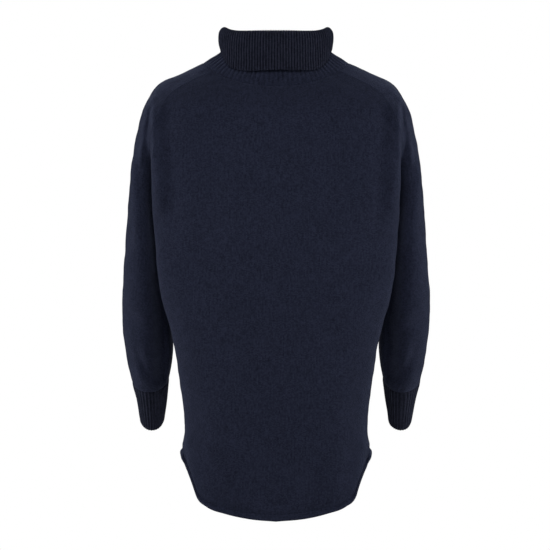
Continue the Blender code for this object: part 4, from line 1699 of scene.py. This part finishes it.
@dataclass
class Studio:
    """A pale floor, soft light and the camera."""

    target: tuple[float, float, float] = (0.0, 0.0, -0.39)
    camera_place: tuple[float, float, float] = (-0.0018, -4.0, -0.3906)
    view_width: float = 0.99
    floor_z: float = -1.45
    floor_radius: float = 3.2
    floor_sides: int = 96
    floor_colour: tuple[float, float, float, float] = (0.80, 0.80, 0.80, 1.0)
    ambient: float = 0.0
    lights: tuple[SoftLight, ...] = (
        SoftLight("key_light", (0.0, -1.7, 0.5), 0.7, 13.0),
        SoftLight("left_light", (-1.6, -2.6, 0.1), 1.2, 9.0),
        SoftLight("right_light", (1.6, -2.6, 0.1), 1.2, 9.0),
        SoftLight("left_rim_light", (-2.7, -0.35, -0.15), 1.0, 31.0),
        SoftLight("right_rim_light", (2.7, -0.35, -0.15), 1.0, 31.0),
        SoftLight("front_light", (0.0, 3.2, 0.8), 2.0, 60.0),
    )

    def add_camera(self) -> None:
        """The camera looks level along +Y, and takes in a square of the given width at Y = 0."""
        bpy.ops.object.camera_add(location=self.camera_place, rotation=(math.pi / 2, 0.0, 0.0))
        camera = bpy.context.object
        camera.data.sensor_fit = "HORIZONTAL"
        camera.data.angle = 2 * math.atan(self.view_width / 2 / abs(self.camera_place[1]))
        bpy.context.scene.camera = camera

    def add_floor(self) -> None:
        """A round pale floor under the place where the wearer would stand."""
        bpy.ops.mesh.primitive_circle_add(
            vertices=self.floor_sides,
            radius=self.floor_radius,
            fill_type="NGON",
            location=(0, 0, self.floor_z),
        )
        floor = bpy.context.object
        floor.name = "studio_floor"
        floor.data.materials.append(PlainFinish("floor_white", self.floor_colour).build())

    def add_lights(self) -> None:
        """Soft lamps around the sweater."""
        for light in self.lights:
            bpy.ops.object.light_add(type="AREA", location=light.place)
            lamp = bpy.context.object
            lamp.name = light.name
            lamp.data.size = light.size
            lamp.data.energy = light.power
            lamp.data.color = light.colour
            way = [a - b for a, b in zip(light.place, self.target)]
            flat = math.hypot(way[0], way[1])
            turn = math.atan2(way[1], way[0]) + math.pi / 2
            lamp.rotation_euler = (math.atan2(flat, way[2]), 0.0, turn)

    def add_world(self) -> None:
        """White all around for the eye, which adds no more light to the cloth than ambient gives."""
        world = bpy.data.worlds.new("studio_white")
        bpy.context.scene.world = world
        world.use_nodes = True
        tree = world.node_tree
        background = tree.nodes["Background"]
        background.inputs["Color"].default_value = (1.0, 1.0, 1.0, 1.0)
        path = tree.nodes.new("ShaderNodeLightPath")
        strength = tree.nodes.new("ShaderNodeMapRange")
        strength.inputs["To Min"].default_value = self.ambient
        strength.inputs["To Max"].default_value = 1.0
        tree.links.new(path.outputs["Is Camera Ray"], strength.inputs["Value"])
        tree.links.new(strength.outputs[0], background.inputs["Strength"])

    def build(self) -> None:
        """Sets up the studio."""
        bpy.context.scene.view_settings.view_transform = "Standard"
        self.add_camera()
        self.add_floor()
        self.add_lights()
        self.add_world()
        log.info("studio: %d lights", len(self.lights))


@dataclass
class Sweater:
    """The whole garment."""

    form: BodyForm = field(default_factory=BodyForm)
    neck: Neck = field(default_factory=Neck)

    def neckline(self) -> Array:
        """Joins the first rows of the four grids.

        Returns:
            The neckline's points and outward directions, from the middle of the back.
        """
        order = ("back", "sleeve_left", "front", "sleeve_right")
        rows = [np.column_stack([self.form.grids[n][0, :-1], self.form.normals[n][0, :-1]]) for n in order]
        return np.roll(np.concatenate(rows), -(len(self.form.grids["back"][0]) // 2), axis=0)

    def cuff_seam(self, side: Side) -> Array:
        """The points and outward directions of a sleeve's last ring."""
        name = "sleeve_" + side.name.lower()
        return np.column_stack([self.form.grids[name][-1, :-1], self.form.normals[name][-1, :-1]])

    def build(self, kit: Kit) -> None:
        """Makes every piece, from the body up to the collar.

        Args:
            kit: The finishes.
        """
        self.form.work_out()
        BodyPieces(self.form).build(kit)
        NeckRib(self.neck).build(self.neckline(), kit)
        RollCollar(self.neck).build(kit)
        for side in Side:
            Cuff(side).build(self.cuff_seam(side), kit)


def main() -> None:
    """Builds the studio and the sweater."""
    logging.basicConfig(level=logging.INFO, format="%(message)s")
    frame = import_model()
    log.info("frame: %d solids", len(frame["nodes"]))
    Studio().build()
    kit = Kit(
        knit=KnitFinish("navy_knit_face").build(),
        purl=KnitFinish("navy_knit_reverse", Stitch.PURL).build(),
        rib=KnitFinish(
            "navy_rib_face",
            light=(0.0262, 0.0288, 0.0490, 1.0),
            wale=2.6 * MM,
            course=1.9 * MM,
            rib_wales=2,
        ).build(),
        # The neck band's furrows get less painted shade.
        band=KnitFinish("navy_band_rib", wale=2.1 * MM, course=1.8 * MM, rib_wales=4, furrow_shade=0.15).build(),
    )
    Sweater().build(kit)


if __name__ == "__main__":
    main()
